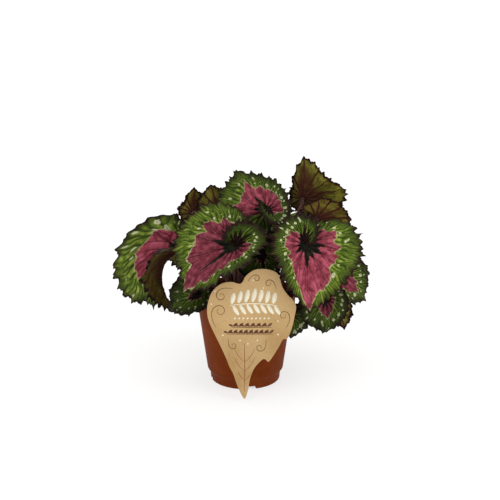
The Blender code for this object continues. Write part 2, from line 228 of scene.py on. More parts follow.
def blade(turn, reach, leaf):
    """The upper face in the leaf's own axes: polar fan, cupped lobe, wavy margin, fold across, bend along."""
    length = leaf["length"]
    out = (outline(turn, leaf) * length - HUB) * reach
    s = smooth((turn - 105.0) / (SCROLL_END - 105.0))
    lift = np.radians(leaf["cup"]) * s - np.radians(8.0) * smooth((-turn - 80.0) / (PLAIN_END - 80.0))
    flat = HUB + out * np.cos(lift)
    t = np.radians(turn)
    x, y = flat * np.cos(t), flat * np.sin(t)
    z = leaf["rise"] * s + out * np.sin(lift)
    z = z + leaf["ruffle"] * length * reach ** 3 * np.sin(7.0 * t + leaf["phase"])
    z = z - 0.05 * length * reach ** 4
    z = z + 0.05 * length * (1.0 - (1.0 - reach) ** 2) * smooth((160.0 - np.abs(turn)) / 60.0)
    y2, z2 = y.copy(), z.copy()
    crease = leaf["crease"] * length
    for side, fold in zip((1.0, -1.0), np.radians(leaf["fold"])):
        m = (y >= 0.0) if side > 0 else (y < 0.0)
        y2[m], z2[m] = carried(np.abs(y[m]), z[m], lambda q: fold * (1.0 - np.exp(-q / crease)), 1.1 * length)
        y2[m] *= side
    x2, z3 = x.copy(), z2.copy()
    fall, width, hook = np.radians(leaf["fall"]), leaf["fall_width"] * length, np.radians(leaf["hook"])
    m = x >= 0.0
    x2[m], z3[m] = carried(x[m], z2[m], lambda q: -fall * (1.0 - np.exp(-q / width)) / (1.0 - np.exp(-length / width))
                           - hook * smooth((q / length - 0.72) / 0.28), 1.15 * length)
    back = np.radians(BACK_BEND)
    x2[~m], z3[~m] = carried(-x[~m], z2[~m], lambda q: -back * q / length, 1.1 * length)
    x2[~m] *= -1.0
    return x2, y2 * leaf["hand"], z3


def axes_of(leaf):
    """Rows: along the midrib, across, out of the upper face."""
    along = unit(leaf["along"])
    face = np.asarray(leaf["face"], float)
    face = unit(face - np.dot(face, along) * along)
    return np.stack([along, np.cross(face, along), face])


USUAL_LEAF = dict(
    fall=20.0, fall_width=0.8, hook=20.0,   # degrees the midrib bends down, over what share, and more near the tip
    cup=62.0, rise=0.011, wind=SCROLL_END,  # degrees and metres that the spiral lobe rises, and where it ends
    taper=0.60, skew=0.12, point=0.0, trim=0.0,   # shares cut from the spiral lobe, its side, shoulders, plain side
    ruffle=0.02, phase=0.0, crease=0.10,    # height and start of the margin's waves, and width of the fold
    stem=(0.30, 0.22, 0.0),                 # pull on the stalk at its foot and top, and a lift at the top in metres
    blush=1.0, run=1.0, fade=110.0,         # the rose's size, its run along the midrib, its end on the plain side
    arm=0.4, spots=(1.0, 1.0),              # the star's long arm; the spots' size and narrowness
    # tone, rose and the first number of under are brightness: partly painted light and shade
    tone=1.0, rose=1.0, under=(1.0, 0.2),   # brightness of the leaf, of its rose, and below, with a share of maroon
    curl=0.0)                               # how far the teeth stand up from the sheet


def leaf(at, along, face, length, hand, fold, root, **measures):
    """The measures of one leaf by name, with the usual ones where none is given."""
    return {**USUAL_LEAF, "at": at, "along": along, "face": face, "length": length / 1000.0, "hand": hand,
            "fold": fold, "root": root, **measures}


half_way = outline(np.array([-90.0, 0.0, 90.0]), leaf((0, 0, 0), (1, 0, 0), (0, 0, 1), 80, 1, (0, 0), (0, 0)))
print("margin radius at the plain side, tip and spiral side:", np.round(half_way, 2), "of the length")

# %% The eighteen leaves
# First line: where the stalk meets the leaf, the directions of its midrib and of its face, its length, its hand, its
# two folds, and where the stalk leaves the crown, in millimetres and degrees. Then come the measures that set the
# leaf apart from the usual one. Leaves deep in the plant are painted darker, as painted shade.
LEAVES = {
    "front_left": leaf(
        (-12, -50, 181), (-0.82, -0.30, -0.48), (-0.25, -0.80, 0.58), 79, 1, (46, 8), (-12, -22),
        fall=25, cup=66, taper=0.52, skew=0.16, phase=0.5, arm=1.0, tone=1.05, rose=0.68),
    "front_right": leaf(
        (69, -44, 182), (0.07, -0.62, -0.78), (0.12, -0.80, 0.60), 77, -1, (22, 12), (24, -20),
        fall=15, hook=30, skew=0.22, phase=1.5, point=0.11, arm=0.1, tone=1.16),
    "far_left": leaf(
        (-80, 4, 157), (-0.92, -0.12, -0.12), (-0.20, -0.20, 0.95), 88, 1, (50, 78), (-26, -4),
        fall=100, fall_width=0.24, hook=4, phase=0.2, crease=0.09, skew=0.30, cup=36, rise=0.008, taper=0.85,
        wind=215.0, trim=0.44, blush=1.04, run=0.4, arm=0.3, spots=(1.1, 2.3), tone=0.92, rose=1.22,
        under=(0.85, 0.6), curl=0.6),
    "top": leaf(
        (25, -2, 211), (-0.62, 0.58, 0.58), (-0.06, -0.62, 0.78), 62, -1, (16, 6), (12, -10),
        fall=-14, hook=-20, phase=2.2, skew=0.26, taper=0.45, blush=1.05, run=0.0, fade=62.0, arm=0.0, tone=0.76,
        rose=1.25, curl=0.3),
    "top_right": leaf(
        (69, 32, 217), (-0.02, -0.35, 0.90), (0.10, 0.92, 0.38), 52, -1, (30, 8), (14, 12),
        fall=-26, fall_width=0.5, hook=-10, phase=0.9, skew=0.46, crease=0.07, point=0.28, cup=36, rise=0.008,
        taper=0.85, wind=215.0, under=(1.25, 0.2)),
    "top_left": leaf(
        (-64, 50, 194), (0.06, 0.05, 0.98), (-0.10, 0.95, 0.05), 32, -1, (34, 34), (-29, 29),
        fall=10, hook=10, phase=0.9, crease=0.2, point=0.25, cup=36, rise=0.006, taper=0.8, wind=215.0,
        stem=(0.35, 0.08, 0.0), under=(1.4, 0.0)),
    "low_right": leaf(
        (94, -42, 116), (0.10, -0.42, -0.88), (0.15, -0.78, 0.62), 42, 1, (24, 6), (30, -12),
        fall=15, hook=40, phase=3.9, stem=(0.50, 0.06, 0.0), blush=0.6, tone=0.66),
    "far_right": leaf(
        (110, -2, 128), (0.85, -0.15, -0.50), (0.35, -0.75, 0.55), 46, -1, (20, 14), (32, -2),
        fall=25, phase=1.1, blush=0.72),
    "low_left": leaf(
        (-56, -36, 117), (-0.80, -0.30, -0.25), (-0.25, -0.80, 0.55), 38, 1, (27, 6), (-24, -20),
        fall=25, hook=60, phase=1.1, stem=(0.52, 0.08, 0.0), blush=0.35, spots=(0.6, 1.0), tone=0.5),
    "low_centre": leaf(
        (54, -51, 99), (0.02, -0.10, -0.99), (0.35, -0.92, 0.10), 29, -1, (25, 3), (24, -26),
        fall=5, hook=10, cup=45, rise=0.007, phase=1.1, wind=235.0, stem=(0.42, 0.0, 0.030), blush=0.3, tone=0.62),
    "right_fold": leaf(
        (106, -28, 100), (0.45, 0.10, -0.85), (0.30, 0.90, 0.20), 30, -1, (20, 20), (38, -8),
        fall=5, hook=10, cup=36, rise=0.006, phase=0.4, taper=0.8, wind=215.0, stem=(0.55, 0.1, 0.0), blush=0.3,
        under=(1.5, 0.0)),
    "side_right": leaf(
        (86, 6, 200), (0.80, 0.05, -0.20), (0.10, 0.70, 0.70), 48, -1, (34, 8), (30, 6),
        fall=30, hook=20, phase=3.1, under=(1.7, 0.45)),
    "rear_left": leaf(
        (-32, 36, 201), (-0.30, 0.20, 0.90), (-0.20, 0.92, 0.20), 33, 1, (26, 20), (-13, 18),
        fall=0, hook=-10, phase=2.0, cup=40, rise=0.007, taper=0.8, wind=235.0, blush=0.7, under=(1.15, 0.1)),
    # a small leaf in the shade between the two front ones: its low tone is painted shade
    "centre": leaf(
        (20, -15, 161), (0.12, -0.45, -0.88), (0.05, -0.85, 0.50), 40, 1, (28, 5), (0, -21),
        fall=10, phase=2.0, cup=40, rise=0.007, taper=0.8, wind=235.0, blush=0.3, spots=(0.6, 1.0), tone=0.4),
    "back_left": leaf(
        (-36, 82, 142), (-0.45, 0.78, -0.40), (-0.25, 0.50, 0.85), 76, -1, (22, 16), (-18, 20),
        fall=45, phase=0.3),
    "back_centre": leaf(
        (24, 78, 168), (0.15, 0.90, -0.38), (0.05, 0.45, 0.88), 82, 1, (20, 24), (2, 22),
        fall=55, phase=1.9, run=0.6),
    "back_right": leaf(
        (92, 55, 142), (0.75, 0.55, -0.35), (0.40, 0.30, 0.86), 72, -1, (26, 18), (24, 13),
        fall=50, phase=2.6),
    "low_back": leaf(
        (-2, 84, 112), (-0.10, 0.85, -0.50), (0.0, 0.60, 0.80), 50, -1, (18, 18), (-8, 30),
        fall=35, phase=5.0, wind=290.0, stem=(0.66, 0.06, 0.0)),
}

print("leaves:", len(LEAVES))

# %% [markdown]
# ## Veins, zones and spots as distances
# The real blade is painted in zones: a star, a rose field, green with cream spots, a dark margin. Painted vertex
# colours would blur their edges over whole faces, and an image would not be crisp close up. So for every point the
# code works out how far inside each zone's edge it lies, in millimetres. Distances stay smooth between vertices, and
# the shader cuts them into crisp lines. The main veins are a fixed angle apart and fork three times on their way out.

# %% Sizes of the pattern
VEIN_STEP = 26.0       # degrees between main veins
LONG_FADE = 90.0       # a rose that ends before this many degrees also leaves the leaf darker beyond it
# rows of spots: how many to a vein, where along the reach, how far that varies, and their radii in mm; the third row
# is for narrow spots only
SPOT_ROWS = ((1.0, 0.735, 0.07, (1.0, 2.3)), (2.0, 0.80, 0.09, (0.4, 1.4)), (3.0, 0.82, 0.11, (1.0, 1.9)))
# where along the reach a vein forks, over what share of it, and how far the branches part, in shares of VEIN_STEP
FORKS = ((0.16, 0.26, 0.24), (0.36, 0.24, 0.12), (0.62, 0.24, 0.06))
VEINS, CELLS = 40, 80  # lengths of the lists of random values, more than any leaf has veins and spot cells
print("rows of spots:", len(SPOT_ROWS), "and forks of a vein:", len(FORKS))


# %% Fields on the leaf
def leaf_fields(turn, reach, radius_mm, seed, leaf):
    """Signed distances in mm, each being how far a point lies inside the edge of a zone: star, pink and margin zones,
    spots; and plain distances to the main vein and to the nearest fork. All are the polar place of a point set
    against an edge radius that varies from vein to vein and is roughened by noise."""
    blush, run, midrib, fade = (leaf[name] for name in ("blush", "run", "arm", "fade"))
    spot_size, narrow = leaf["spots"]
    r_mm = HUB / MM + (radius_mm - HUB / MM) * reach
    t = np.radians(turn)
    fx, fy = r_mm * np.cos(t), r_mm * np.sin(t)
    rng = np.random.default_rng(seed)
    wobble = (cloud(fx / 9.0 + 20, fy / 9.0 + 20, seed) - 0.5) * 0.30 * smooth(reach / 0.25)
    q = turn / VEIN_STEP + wobble
    g = np.abs(q - np.round(q))
    arc = np.radians(VEIN_STEP) * r_mm
    vein = g * arc
    fork = g.copy()
    for start, wide, off in FORKS:
        fork = np.abs(fork - off * smooth((reach - start) / wide))
    key = (np.round(q).astype(int) + 16) % VEINS
    coil = smooth((turn - 95.0) / 90.0)
    # the star: an arm along every vein, strong or weak, and a core; all grow in the coil as painted shade in its
    # funnel
    strong = rng.random(VEINS) < 0.5
    arm = np.where(strong, rng.uniform(0.28, 0.40, VEINS), rng.uniform(0.16, 0.24, VEINS))[key] * radius_mm
    arm = arm * (1.0 + 0.35 * coil) + 0.40 * midrib * radius_mm * (np.abs(q) < 0.5)
    thick = np.where(strong, 8.5, 4.5)[key] * radius_mm / 60.0 + 2.0 * coil
    core = 0.18 + coil * (0.12 + rng.uniform(0.14, 0.42, VEINS)[key] * (1.0 - 1.7 * g))
    star = np.maximum(thick * (1.0 - r_mm / arm) - vein, core * radius_mm - r_mm)
    # the rose field: a lobe along every vein, longest at the midrib, fading in the coil and on the plain side
    ragged = cloud(fx / 3.2, fy / 3.2, seed + 1) - 0.5 + 0.6 * (cloud(fx / 1.5, fy / 1.5, seed + 2) - 0.5)
    lobe = rng.uniform(0.50, 0.58, VEINS)[key] + rng.uniform(0.06, 0.13, VEINS)[key] * (1.0 - 2.0 * g) ** 0.7
    lobe = lobe + 0.10 * (cloud(turn / 8.0 + 50, 0.0 * turn, seed + 3) - 0.5)
    lobe = lobe + 0.34 * run * np.clip(1.0 - np.abs(turn) / 48.0, 0.0, 1.0)
    lobe = lobe * (1.0 - 0.85 * smooth((turn - 120.0) / 70.0))
    lobe = lobe * (1.0 - (0.3 if fade > LONG_FADE else 1.0) * smooth((-turn - fade) / 40.0))
    lobe = lobe * blush
    pink = (lobe - reach) * radius_mm + 3.0 * ragged
    # the dark margin is wider on the coil: partly painted shadow round the coil's ring
    margin = (1.0 - reach) * radius_mm + 2.4 * ragged - 1.6 * smooth((turn - 150.0) / 40.0)
    # the spots: one in each cell between veins, with its own place and size
    spot = np.full(turn.shape, -9.0)
    open_part = 1.0 - smooth((turn - 165.0) / 40.0)
    for per, where, spread, size in SPOT_ROWS if narrow > 1.0 else SPOT_ROWS[:2]:
        half = 0.5 * (per > 1.0)
        cell = np.floor(q * per + half)
        k = (cell.astype(int) + 32) % CELLS
        mid = (cell + 0.5 - half) / per + rng.uniform(-0.12, 0.12, CELLS)[k]
        at = where + rng.uniform(-spread, spread, CELLS)[k]
        size_k = spot_size * rng.uniform(*size, CELLS)[k]
        away = np.hypot((q - mid) * arc * narrow, (reach - at) * radius_mm * 0.9 / narrow ** 0.6)
        spot = np.maximum(spot, size_k * open_part - away)
    dim = 1.0 - (0.0 if fade > LONG_FADE else 0.65) * smooth((-turn - fade + 10.0) / 30.0)
    return dict(star=star + 1.2 * ragged, pink=pink, margin=margin, vein=vein, spot=spot + 0.5 * ragged,
                fork=fork * arc, flat=(fx, fy), coil=coil, dim=dim)


trial = leaf_fields(np.zeros(3), np.array([0.1, 0.4, 0.9]), np.full(3, 80.0), 1, USUAL_LEAF)
print("mm inside the star and the rose, along a midrib:", np.round(trial["star"], 1), np.round(trial["pink"], 1))

# %% [markdown]
# ## Building one leaf
# A real blade is puckered: it bulges between the veins like a quilt, its margin is frilled, and sharp uneven teeth
# stand out from it. A bump map would leave the outline smooth, and a Displace modifier would need an image, so the
# relief is added to the points themselves, along the sheet's normal. The underside is the same sheet one skin lower,
# so the veins that are sunk above stand out below. Big leaves get more columns than small ones.

# %% Leaf mesh
COLUMNS_PER_MM = 5.2   # columns of points for each millimetre of a leaf's length
ROWS = 30              # rings of points from hub to margin
SKIN = 0.55 * MM       # thickness of the visible blade at its hub
USUAL_LENGTH = 70 * MM  # a leaf whose relief has its full size
QUILT, GROOVE, FRILL, CRINKLE = 1.8, 0.5, 3.0, 0.6  # height in mm of each kind of relief
TEETH = ((8.5, 6.6), (3.6, 3.2))         # spacing and height in mm of the two sizes of teeth


def toothed(turn, radius_mm, seed):
    """Uneven pointed teeth along the margin, in mm: two saw waves of random height, squared to sharpen them."""
    rng = np.random.default_rng(seed + 7)
    arc = np.cumsum(np.gradient(np.radians(turn)) * radius_mm)
    total = np.zeros_like(arc)
    for pitch, high in TEETH:
        p = arc / pitch + 0.25 * np.sin(arc / 11.0 + seed)
        k = np.floor(p).astype(int) % 97
        saw = 1.0 - np.abs((p - np.floor(p)) * 2.0 - 1.0)
        total += saw ** 2.0 * high * rng.uniform(0.35, 1.0, 97)[k]
    return total


def leaf_sheet(leaf, seed):
    """(upper points, lower points, fields) of one leaf as grids of turn by reach. Upper is the bent fan plus relief
    along its normal plus teeth along its outward direction; lower is upper less one skin, thinner at the margin."""
    count = int(leaf["length"] / MM * COLUMNS_PER_MM)
    turn_1 = np.linspace(-PLAIN_END, leaf["wind"], count)
    reach_1 = np.append(0.0, np.linspace(0.0, 1.0, ROWS) ** 0.85)
    turn, reach = np.meshgrid(turn_1, reach_1, indexing="ij")
    radius_mm = outline(turn, leaf) * leaf["length"] / MM
    f = leaf_fields(turn, reach, radius_mm, seed, leaf)
    x, y, z = blade(turn, reach, leaf)
    axes = axes_of(leaf)
    at = np.asarray(leaf["at"]) * MM
    x[:, 0], y[:, 0], z[:, 0] = 0.0, 0.0, z[:, 0] + 0.3 * MM
    base = at + x[..., None] * axes[0] + y[..., None] * axes[1] + z[..., None] * axes[2]
    out = np.gradient(base, axis=1)
    out = out / np.linalg.norm(out, axis=-1, keepdims=True)
    normal = np.cross(out, np.gradient(base, axis=0)) * leaf["hand"]
    normal = normal / np.linalg.norm(normal, axis=-1, keepdims=True)
    size = np.clip(leaf["length"] / USUAL_LENGTH, 0.5, 1.15)
    quilt = np.sqrt(np.clip(f["fork"] / 2.6, 0.0, 1.0)) * smooth(reach / 0.12) * (1.25 - 0.75 * reach ** 3)
    groove = np.exp(-(f["vein"] / 0.9) ** 2) * smooth(reach / 0.2) * (1.0 - reach)
    frill = np.sin(np.cumsum(np.gradient(np.radians(turn), axis=0) * radius_mm, axis=0) / 2.9 + seed) \
        * cloud(turn / 14.0 + 30, reach * 2.0, seed + 4) * reach ** 5
    crinkle = cloud(f["flat"][0] / 2.1, f["flat"][1] / 2.1, seed + 5) - 0.5
    relief = (QUILT * quilt * size - GROOVE * groove + FRILL * frill * size
              + CRINKLE * crinkle * smooth(reach / 0.2)) * MM
    teeth = toothed(turn_1, radius_mm[:, -1], seed)[:, None] * smooth((reach - 0.86) / 0.14) * size * MM
    upper = base + normal * (relief + leaf["curl"] * teeth)[..., None] + out * teeth[..., None]
    lower = upper - normal * SKIN * (1.0 - 0.45 * reach[..., None])
    return upper, lower, f


def leaf_object(key, leaf, seed, materials):
    """One blade: upper and lower grids joined by a rim, with the fields stored on its points. Returns the lower grid
    too, because the stalk ends on it."""
    upper, lower, f = leaf_sheet(leaf, seed)
    rows, cols = upper.shape[:2]
    n = rows * cols
    top = grid_quads(rows, cols)
    idx = np.arange(n).reshape(rows, cols)
    ring = np.concatenate([idx[0, :], idx[1:, -1], idx[-1, ::-1][1:], idx[::-1, 0][1:-1]])
    nxt = np.roll(ring, -1)
    rim = np.stack([ring, nxt, n + nxt, n + ring], -1)
    faces = np.concatenate([top[:, ::-1], n + top, rim])
    if leaf["hand"] > 0:
        faces = faces[:, ::-1]
    obj = piece("blade_" + key, np.concatenate([upper.reshape(-1, 3), lower.reshape(-1, 3)]), faces, materials,
                ["leaf_" + key], second=slice(len(top), 2 * len(top)))
    same = np.ones_like(f["star"])
    # tone keeps each leaf's brightness and its rose's, both partly painted light and shade, and the coil
    stored_fields = {"zone": (f["star"], f["pink"], f["margin"]), "mark": (f["vein"], f["spot"], f["fork"]),
                     "flat": (*f["flat"], 37.0 * seed * same),
                     "tone": (leaf["tone"] * f["dim"], leaf["rose"] * same, f["coil"])}
    for name, parts in stored_fields.items():
        data = np.tile(np.stack(parts, -1).reshape(-1, 3), (2, 1)).astype(np.float32)
        if name == "tone":
            data[n:, :2] = leaf["under"]
        attribute = obj.data.attributes.new(name, "FLOAT_VECTOR", "POINT")
        attribute.data.foreach_set("vector", data.ravel())
    return obj, lower


tallest = toothed(np.linspace(-90, 90, 400), np.full(400, 80.0), 1).max()
print("tallest tooth of a big leaf:", round(float(tallest), 1), "mm")

# %% [markdown]
# ## Leaf skins
# The upper skin is living leaf: satin, quilted, with a near-black star over the stalk, a rose field with a ragged
# cream edge, green with cream spots, and a blackish margin. The lower skin is olive between thick maroon veins. Flat
# colours would look cut out, so both skins lay several tones over each other by noise on the leaf's own flat
# coordinates, in mm, and the same noise frays the edges of the zones.

# %% Leaf materials
FINE_MM, CELL_MM = 1.3, 1.6  # mottling and leaf cells, drawn far coarser than real ones so that they show


def stored(tree, name):
    """The three numbers kept under this name on the leaf's points."""
    vector = add(tree, "Attribute", out="Vector", attribute_name=name)
    return add(tree, "SeparateXYZ", {0: vector}).node.outputs


def leaf_noise(tree):
    """The leaf's flat coordinates in mm, and the fine mottling on them."""
    flat = add(tree, "Attribute", out="Vector", attribute_name="flat")
    fine = add(tree, "TexNoise", {"Vector": flat, "Scale": 1.0 / FINE_MM, "Detail": 4.0, "Roughness": 0.7})
    return flat, fine


def make_upper_skin():
    """Begonia leaf, grown, seen from above: cell walls scatter the light, so it is satin with hardly any gloss."""
    m, tree, shader = new_material("leaf_upper_skin", 0.48, Specular_IOR_Level=0.08)
    star, pink, margin = stored(tree, "zone")
    vein, spot, fork = stored(tree, "mark")
    tone, rose_shading, coil = stored(tree, "tone")
    flat, fine = leaf_noise(tree)
    blotch = add(tree, "TexNoise", {"Vector": flat, "Scale": 1.0 / 7.0, "Detail": 3.0, "Roughness": 0.6})
    shade = add(tree, "TexNoise", {"Vector": flat, "Scale": 1.0 / 24.0, "Detail": 2.0, "Roughness": 0.6})
    jag = add(tree, "MapRange", {0: fine, 1: 0.3, 2: 0.7, 3: -0.9, 4: 0.9})
    # mm inside the edge of the rose, of the star and of the margin, frayed by the fine noise; spots by half of it
    rose_edge, star_edge, dark_edge = (add(tree, "Math", {0: zone, 1: jag}, operation="ADD")
                                       for zone in (pink, star, margin))
    spot_edge = add(tree, "Math", {0: jag, 1: 0.5, 2: spot}, operation="MULTIPLY_ADD")
    # green: darker along the veins, partly painted shade in their furrows, and a painted highlight on the pucker tops
    green = layered(tree, "#2a370d",
                    ("#566b1c", 1.0, (fork, 0.1, 0.9)),                          # between the veins
                    ("#9fad49", 0.85, (blotch, 0.40, 0.66), (fork, 0.5, 1.8)),   # pucker tops: painted highlight
                    ("#23310a", 0.5, (fine, 0.45, 0.75)),
                    ("#202c09", 0.6, (blotch, 0.44, 0.28)),
                    ("#1e2c0d", 0.3, (coil, 0.1, 0.7)),                          # the coil is darker: painted shade inside its funnel
                    ("#1f2b0c", 0.4, (shade, 0.50, 0.34)),
                    ("#211f0a", 0.75, (margin, 8.0, 2.2)))                       # browner near the margin
    rose = layered(tree, "#7e2f3b",
                   ("#aa5262", 1.0, (blotch, 0.35, 0.68)),
                   ("#64202b", 0.55, (fine, 0.50, 0.75)),
                   ("#491722", 0.65, (fork, 0.7, 0.1)),                          # forked veins
                   ("#37131a", 0.7, (vein, 1.5, 0.2)))                           # main veins
    # each leaf's rose is scaled by its brightness: painted light and shade on the rose
    rose = add(tree, "VectorMath", {0: rose, 3: rose_shading}, operation="SCALE")
    cream = layered(tree, "#b9bc93", ("#76864a", 0.7, (spot_edge, 0.7, 1.3)))    # a spot is greener at its middle
    speck = layered(tree, "#1b0f0b", ("#77404a", 1.0, (fine, 0.58, 0.70), (fork, 0.3, 1.2)))
    dark = layered(tree, "#171410", ("#23251a", 1.0, (blotch, 0.4, 0.7)), (speck, 1.0, (coil, 0.1, 0.8)))
    skin = layered(tree, green,
                   (rose, 1.0, (rose_edge, -0.25, 0.25)),
                   ("#a3a274", 1.0, (rose_edge, -1.5, -0.4), (rose_edge, 0.55, -0.1), (blotch, 0.36, 0.52)),
                   (cream, 1.0, (spot_edge, -0.35, 0.35), (pink, 0.5, -0.8)),
                   (dark, 1.0, (star_edge, -0.6, 0.5)),
                   ("#22100b", 1.0, (dark_edge, 2.8, 1.0)))
    # each leaf's tone scales its whole skin: partly painted light and shade, darker for leaves deep in the plant
    shown = add(tree, "VectorMath", {0: skin, 3: tone}, operation="SCALE")
    cells = add(tree, "TexVoronoi", {"Vector": flat, "Scale": 1.0 / CELL_MM}, feature="F1")
    height = add(tree, "Math", {0: cells, 1: -0.5, 2: fine}, operation="MULTIPLY_ADD")
    finish(tree, shader, shown, height, 0.55, 0.9)
    return m


def make_lower_skin():
    """The same leaf from below: matt, olive, with maroon spreading from the veins under the rose zone."""
    m, tree, shader = new_material("leaf_lower_skin", 0.55, Specular_IOR_Level=0.08)
    _, pink, margin = stored(tree, "zone")
    vein, _, fork = stored(tree, "mark")
    tone, maroon, _ = stored(tree, "tone")
    flat, fine = leaf_noise(tree)
    blotch = add(tree, "TexNoise", {"Vector": flat, "Scale": 1.0 / 8.0, "Detail": 3.0, "Roughness": 0.6})
    redness = add(tree, "Math", {0: maroon, 1: 0.95}, operation="MULTIPLY")
    warm = add(tree, "Math", {0: blotch, 1: 16.0, 2: pink}, operation="MULTIPLY_ADD")
    skin = layered(tree, "#4c4c12",
                   ("#7a7a2a", 1.0, (blotch, 0.35, 0.7)),
                   ("#38290e", 0.4, (fine, 0.5, 0.75)),
                   ("#3a1512", 0.5, (fork, 0.6, 0.15)),
                   ("#3c1512", redness),
                   ("#300d0f", 1.0, (vein, 1.2, 0.4)),
                   ("#35120f", 0.85, (warm, 5.0, 19.0)),
                   ("#1f0b0b", 1.0, (margin, 4.5, 1.4)))
    # each leaf's underside brightness scales the skin: partly painted light and shade
    shown = add(tree, "VectorMath", {0: skin, 3: tone}, operation="SCALE")
    finish(tree, shader, shown, fine, 0.5, 0.8)
    return m


UPPER_SKIN, LOWER_SKIN = make_upper_skin(), make_lower_skin()
print("leaf skins:", len(UPPER_SKIN.node_tree.nodes), "and", len(LOWER_SKIN.node_tree.nodes), "nodes")

# %% Make the leaves
FIRST_SEED = 11
lower_faces = {}
blade_faces = 0
for number, (key, spec) in enumerate(LEAVES.items()):
    obj, lower_faces[key] = leaf_object(key, spec, FIRST_SEED + number, [UPPER_SKIN, LOWER_SKIN])
    blade_faces += len(obj.data.polygons)
print("leaf blades:", blade_faces, "faces")

# %% [markdown]
# ## Stalks
# The real stalks are juicy red tubes set with soft pale hairs. Particle hair would not leave this scene as a mesh, so
# each hair is a spike with three long faces, repeated a few hundred times. The stalk is a circle carried along the
# same path as in the source, which a bevelled curve could do as well, but here its radius follows a formula.


# %% Stalk shape
SOIL_TOP = 97 * MM     # height of the peat
JOIN = 0.3 * MM        # gap between the stalk's end and the underside of the leaf
NECK = 5 * MM          # straight end of a stalk under its leaf
FLARE = 0.8 * MM       # how much wider than the hub the stalk's seat is
NECK_RINGS = 5         # rings of points on the neck, and its radii as shares of the stalk's
NECK_RADII = np.array([0.70, 0.76, 0.86, 0.98, 1.06])


def stalk_path(leaf, lower, count):
    """From the crown to the underside of the hub, meeting it square: a cubic curve, then a straight neck."""
    axes = axes_of(leaf)
    at = np.asarray(leaf["at"]) * MM
    ring = (lower[:, 1:4].reshape(-1, 3) - at) @ axes.T
    near = np.hypot(ring[:, 0], ring[:, 1]) < HUB + FLARE + 0.4 * MM
    tip = at + axes[2] * (np.min(ring[near, 2]) - JOIN)
    end = tip - axes[2] * NECK
    start = np.array([leaf["root"][0] * MM, leaf["root"][1] * MM, SOIL_TOP - 1 * MM])
    span = np.linalg.norm(end - start)
    p1 = start + np.array([0.0, 0.0, 1.0]) * span * leaf["stem"][0] + (end - start) * 0.12 * np.array([1, 1, 0])
    p2 = end - axes[2] * span * leaf["stem"][1] + np.array([0.0, 0.0, leaf["stem"][2]])
    t = np.linspace(0.0, 1.0, count)[:, None]
    line = (1 - t) ** 3 * start + 3 * (1 - t) ** 2 * t * p1 + 3 * (1 - t) * t ** 2 * p2 + t ** 3 * end
    neck = tip - axes[2] * NECK * np.linspace(0.8, 0.0, NECK_RINGS)[:, None]
    return np.concatenate([line, neck])


def frames_along(points):
    """Unit tangents and two crosswise directions that never twist, along a path."""
    tangent = np.gradient(points, axis=0)
    tangent = tangent / np.linalg.norm(tangent, axis=1, keepdims=True)
    side = unit(np.cross(tangent[0], [0.31, 0.17, 0.93]))
    sides = []
    for t in tangent:
        side = unit(side - np.dot(side, t) * t)
        sides.append(side)
    sides = np.array(sides)
    return tangent, sides, np.cross(tangent, sides)


def tube(points, radii, count):
    """A circle of changing radius carried along a path: grid of path by angle."""
    _, a, b = frames_along(points)
    th = np.linspace(0.0, 2.0 * np.pi, count, endpoint=False)
    around = np.cos(th)[None, :, None] * a[:, None] + np.sin(th)[None, :, None] * b[:, None]
    return points[:, None] + around * radii[:, None, None]


def capped_tube(rings):
    """Vertices and faces of a tube with both ends closed by a point."""
    rows, cols = rings.shape[:2]
    idx = np.arange(rows * cols).reshape(rows, cols)
    nxt = np.roll(idx, -1, 1)
    ends = [[rows * cols, nxt[0, i], idx[0, i]] for i in range(cols)]
    ends += [[rows * cols + 1, idx[-1, i], nxt[-1, i]] for i in range(cols)]
    verts = np.concatenate([rings.reshape(-1, 3), [rings[0].mean(0)], [rings[-1].mean(0)]])
    return verts, ring_quads(idx).tolist() + ends


bend = capped_tube(tube(np.array([(0.0, 0.0, 0.0), (0.0, 0.0, 1.0), (0.3, 0.0, 2.0)]), np.full(3, 0.1), 8))
print("a tube of 3 rings of 8 points has", len(bend[1]), "faces")

# %% Stalk hairs
HAIRS_PER_M = 3600
HAIR_LENGTH = 2.6 * MM
HAIR_RADIUS = 0.11 * MM   # at its foot; real hairs are finer, and would not show


def hairs(points, radii, count, length, seed):
    """Soft spikes standing out of a tube: three corners a third of a turn apart and one tip each, with random place,
    lean and length."""
    rng = np.random.default_rng(seed)
    tangent, a, b = frames_along(points)
    k = rng.integers(1, len(points) - 4, count)
    th = rng.uniform(0.0, 2.0 * np.pi, count)
    out = np.cos(th)[:, None] * a[k] + np.sin(th)[:, None] * b[k]
    foot = points[k] + out * radii[k, None] * 0.95 + tangent[k] * rng.uniform(-0.5, 0.5, count)[:, None] * MM
    lean = out + tangent[k] * rng.normal(0.0, 0.35, count)[:, None] + rng.normal(0.0, 0.2, (count, 3))
    tip = foot + lean / np.linalg.norm(lean, axis=1, keepdims=True) * length * rng.uniform(0.5, 1.0, count)[:, None]
    across = np.cross(out, tangent[k])
    corners = [foot + HAIR_RADIUS * (np.cos(c) * across + np.sin(c) * tangent[k]) for c in (0.0, 2.09, 4.19)]
    verts = np.stack([*corners, tip], 1).reshape(-1, 3)
    base = np.arange(count)[:, None] * 4
    faces = np.concatenate([base + f for f in ([0, 1, 3], [1, 2, 3], [2, 0, 3], [0, 2, 1])])
    return verts, faces


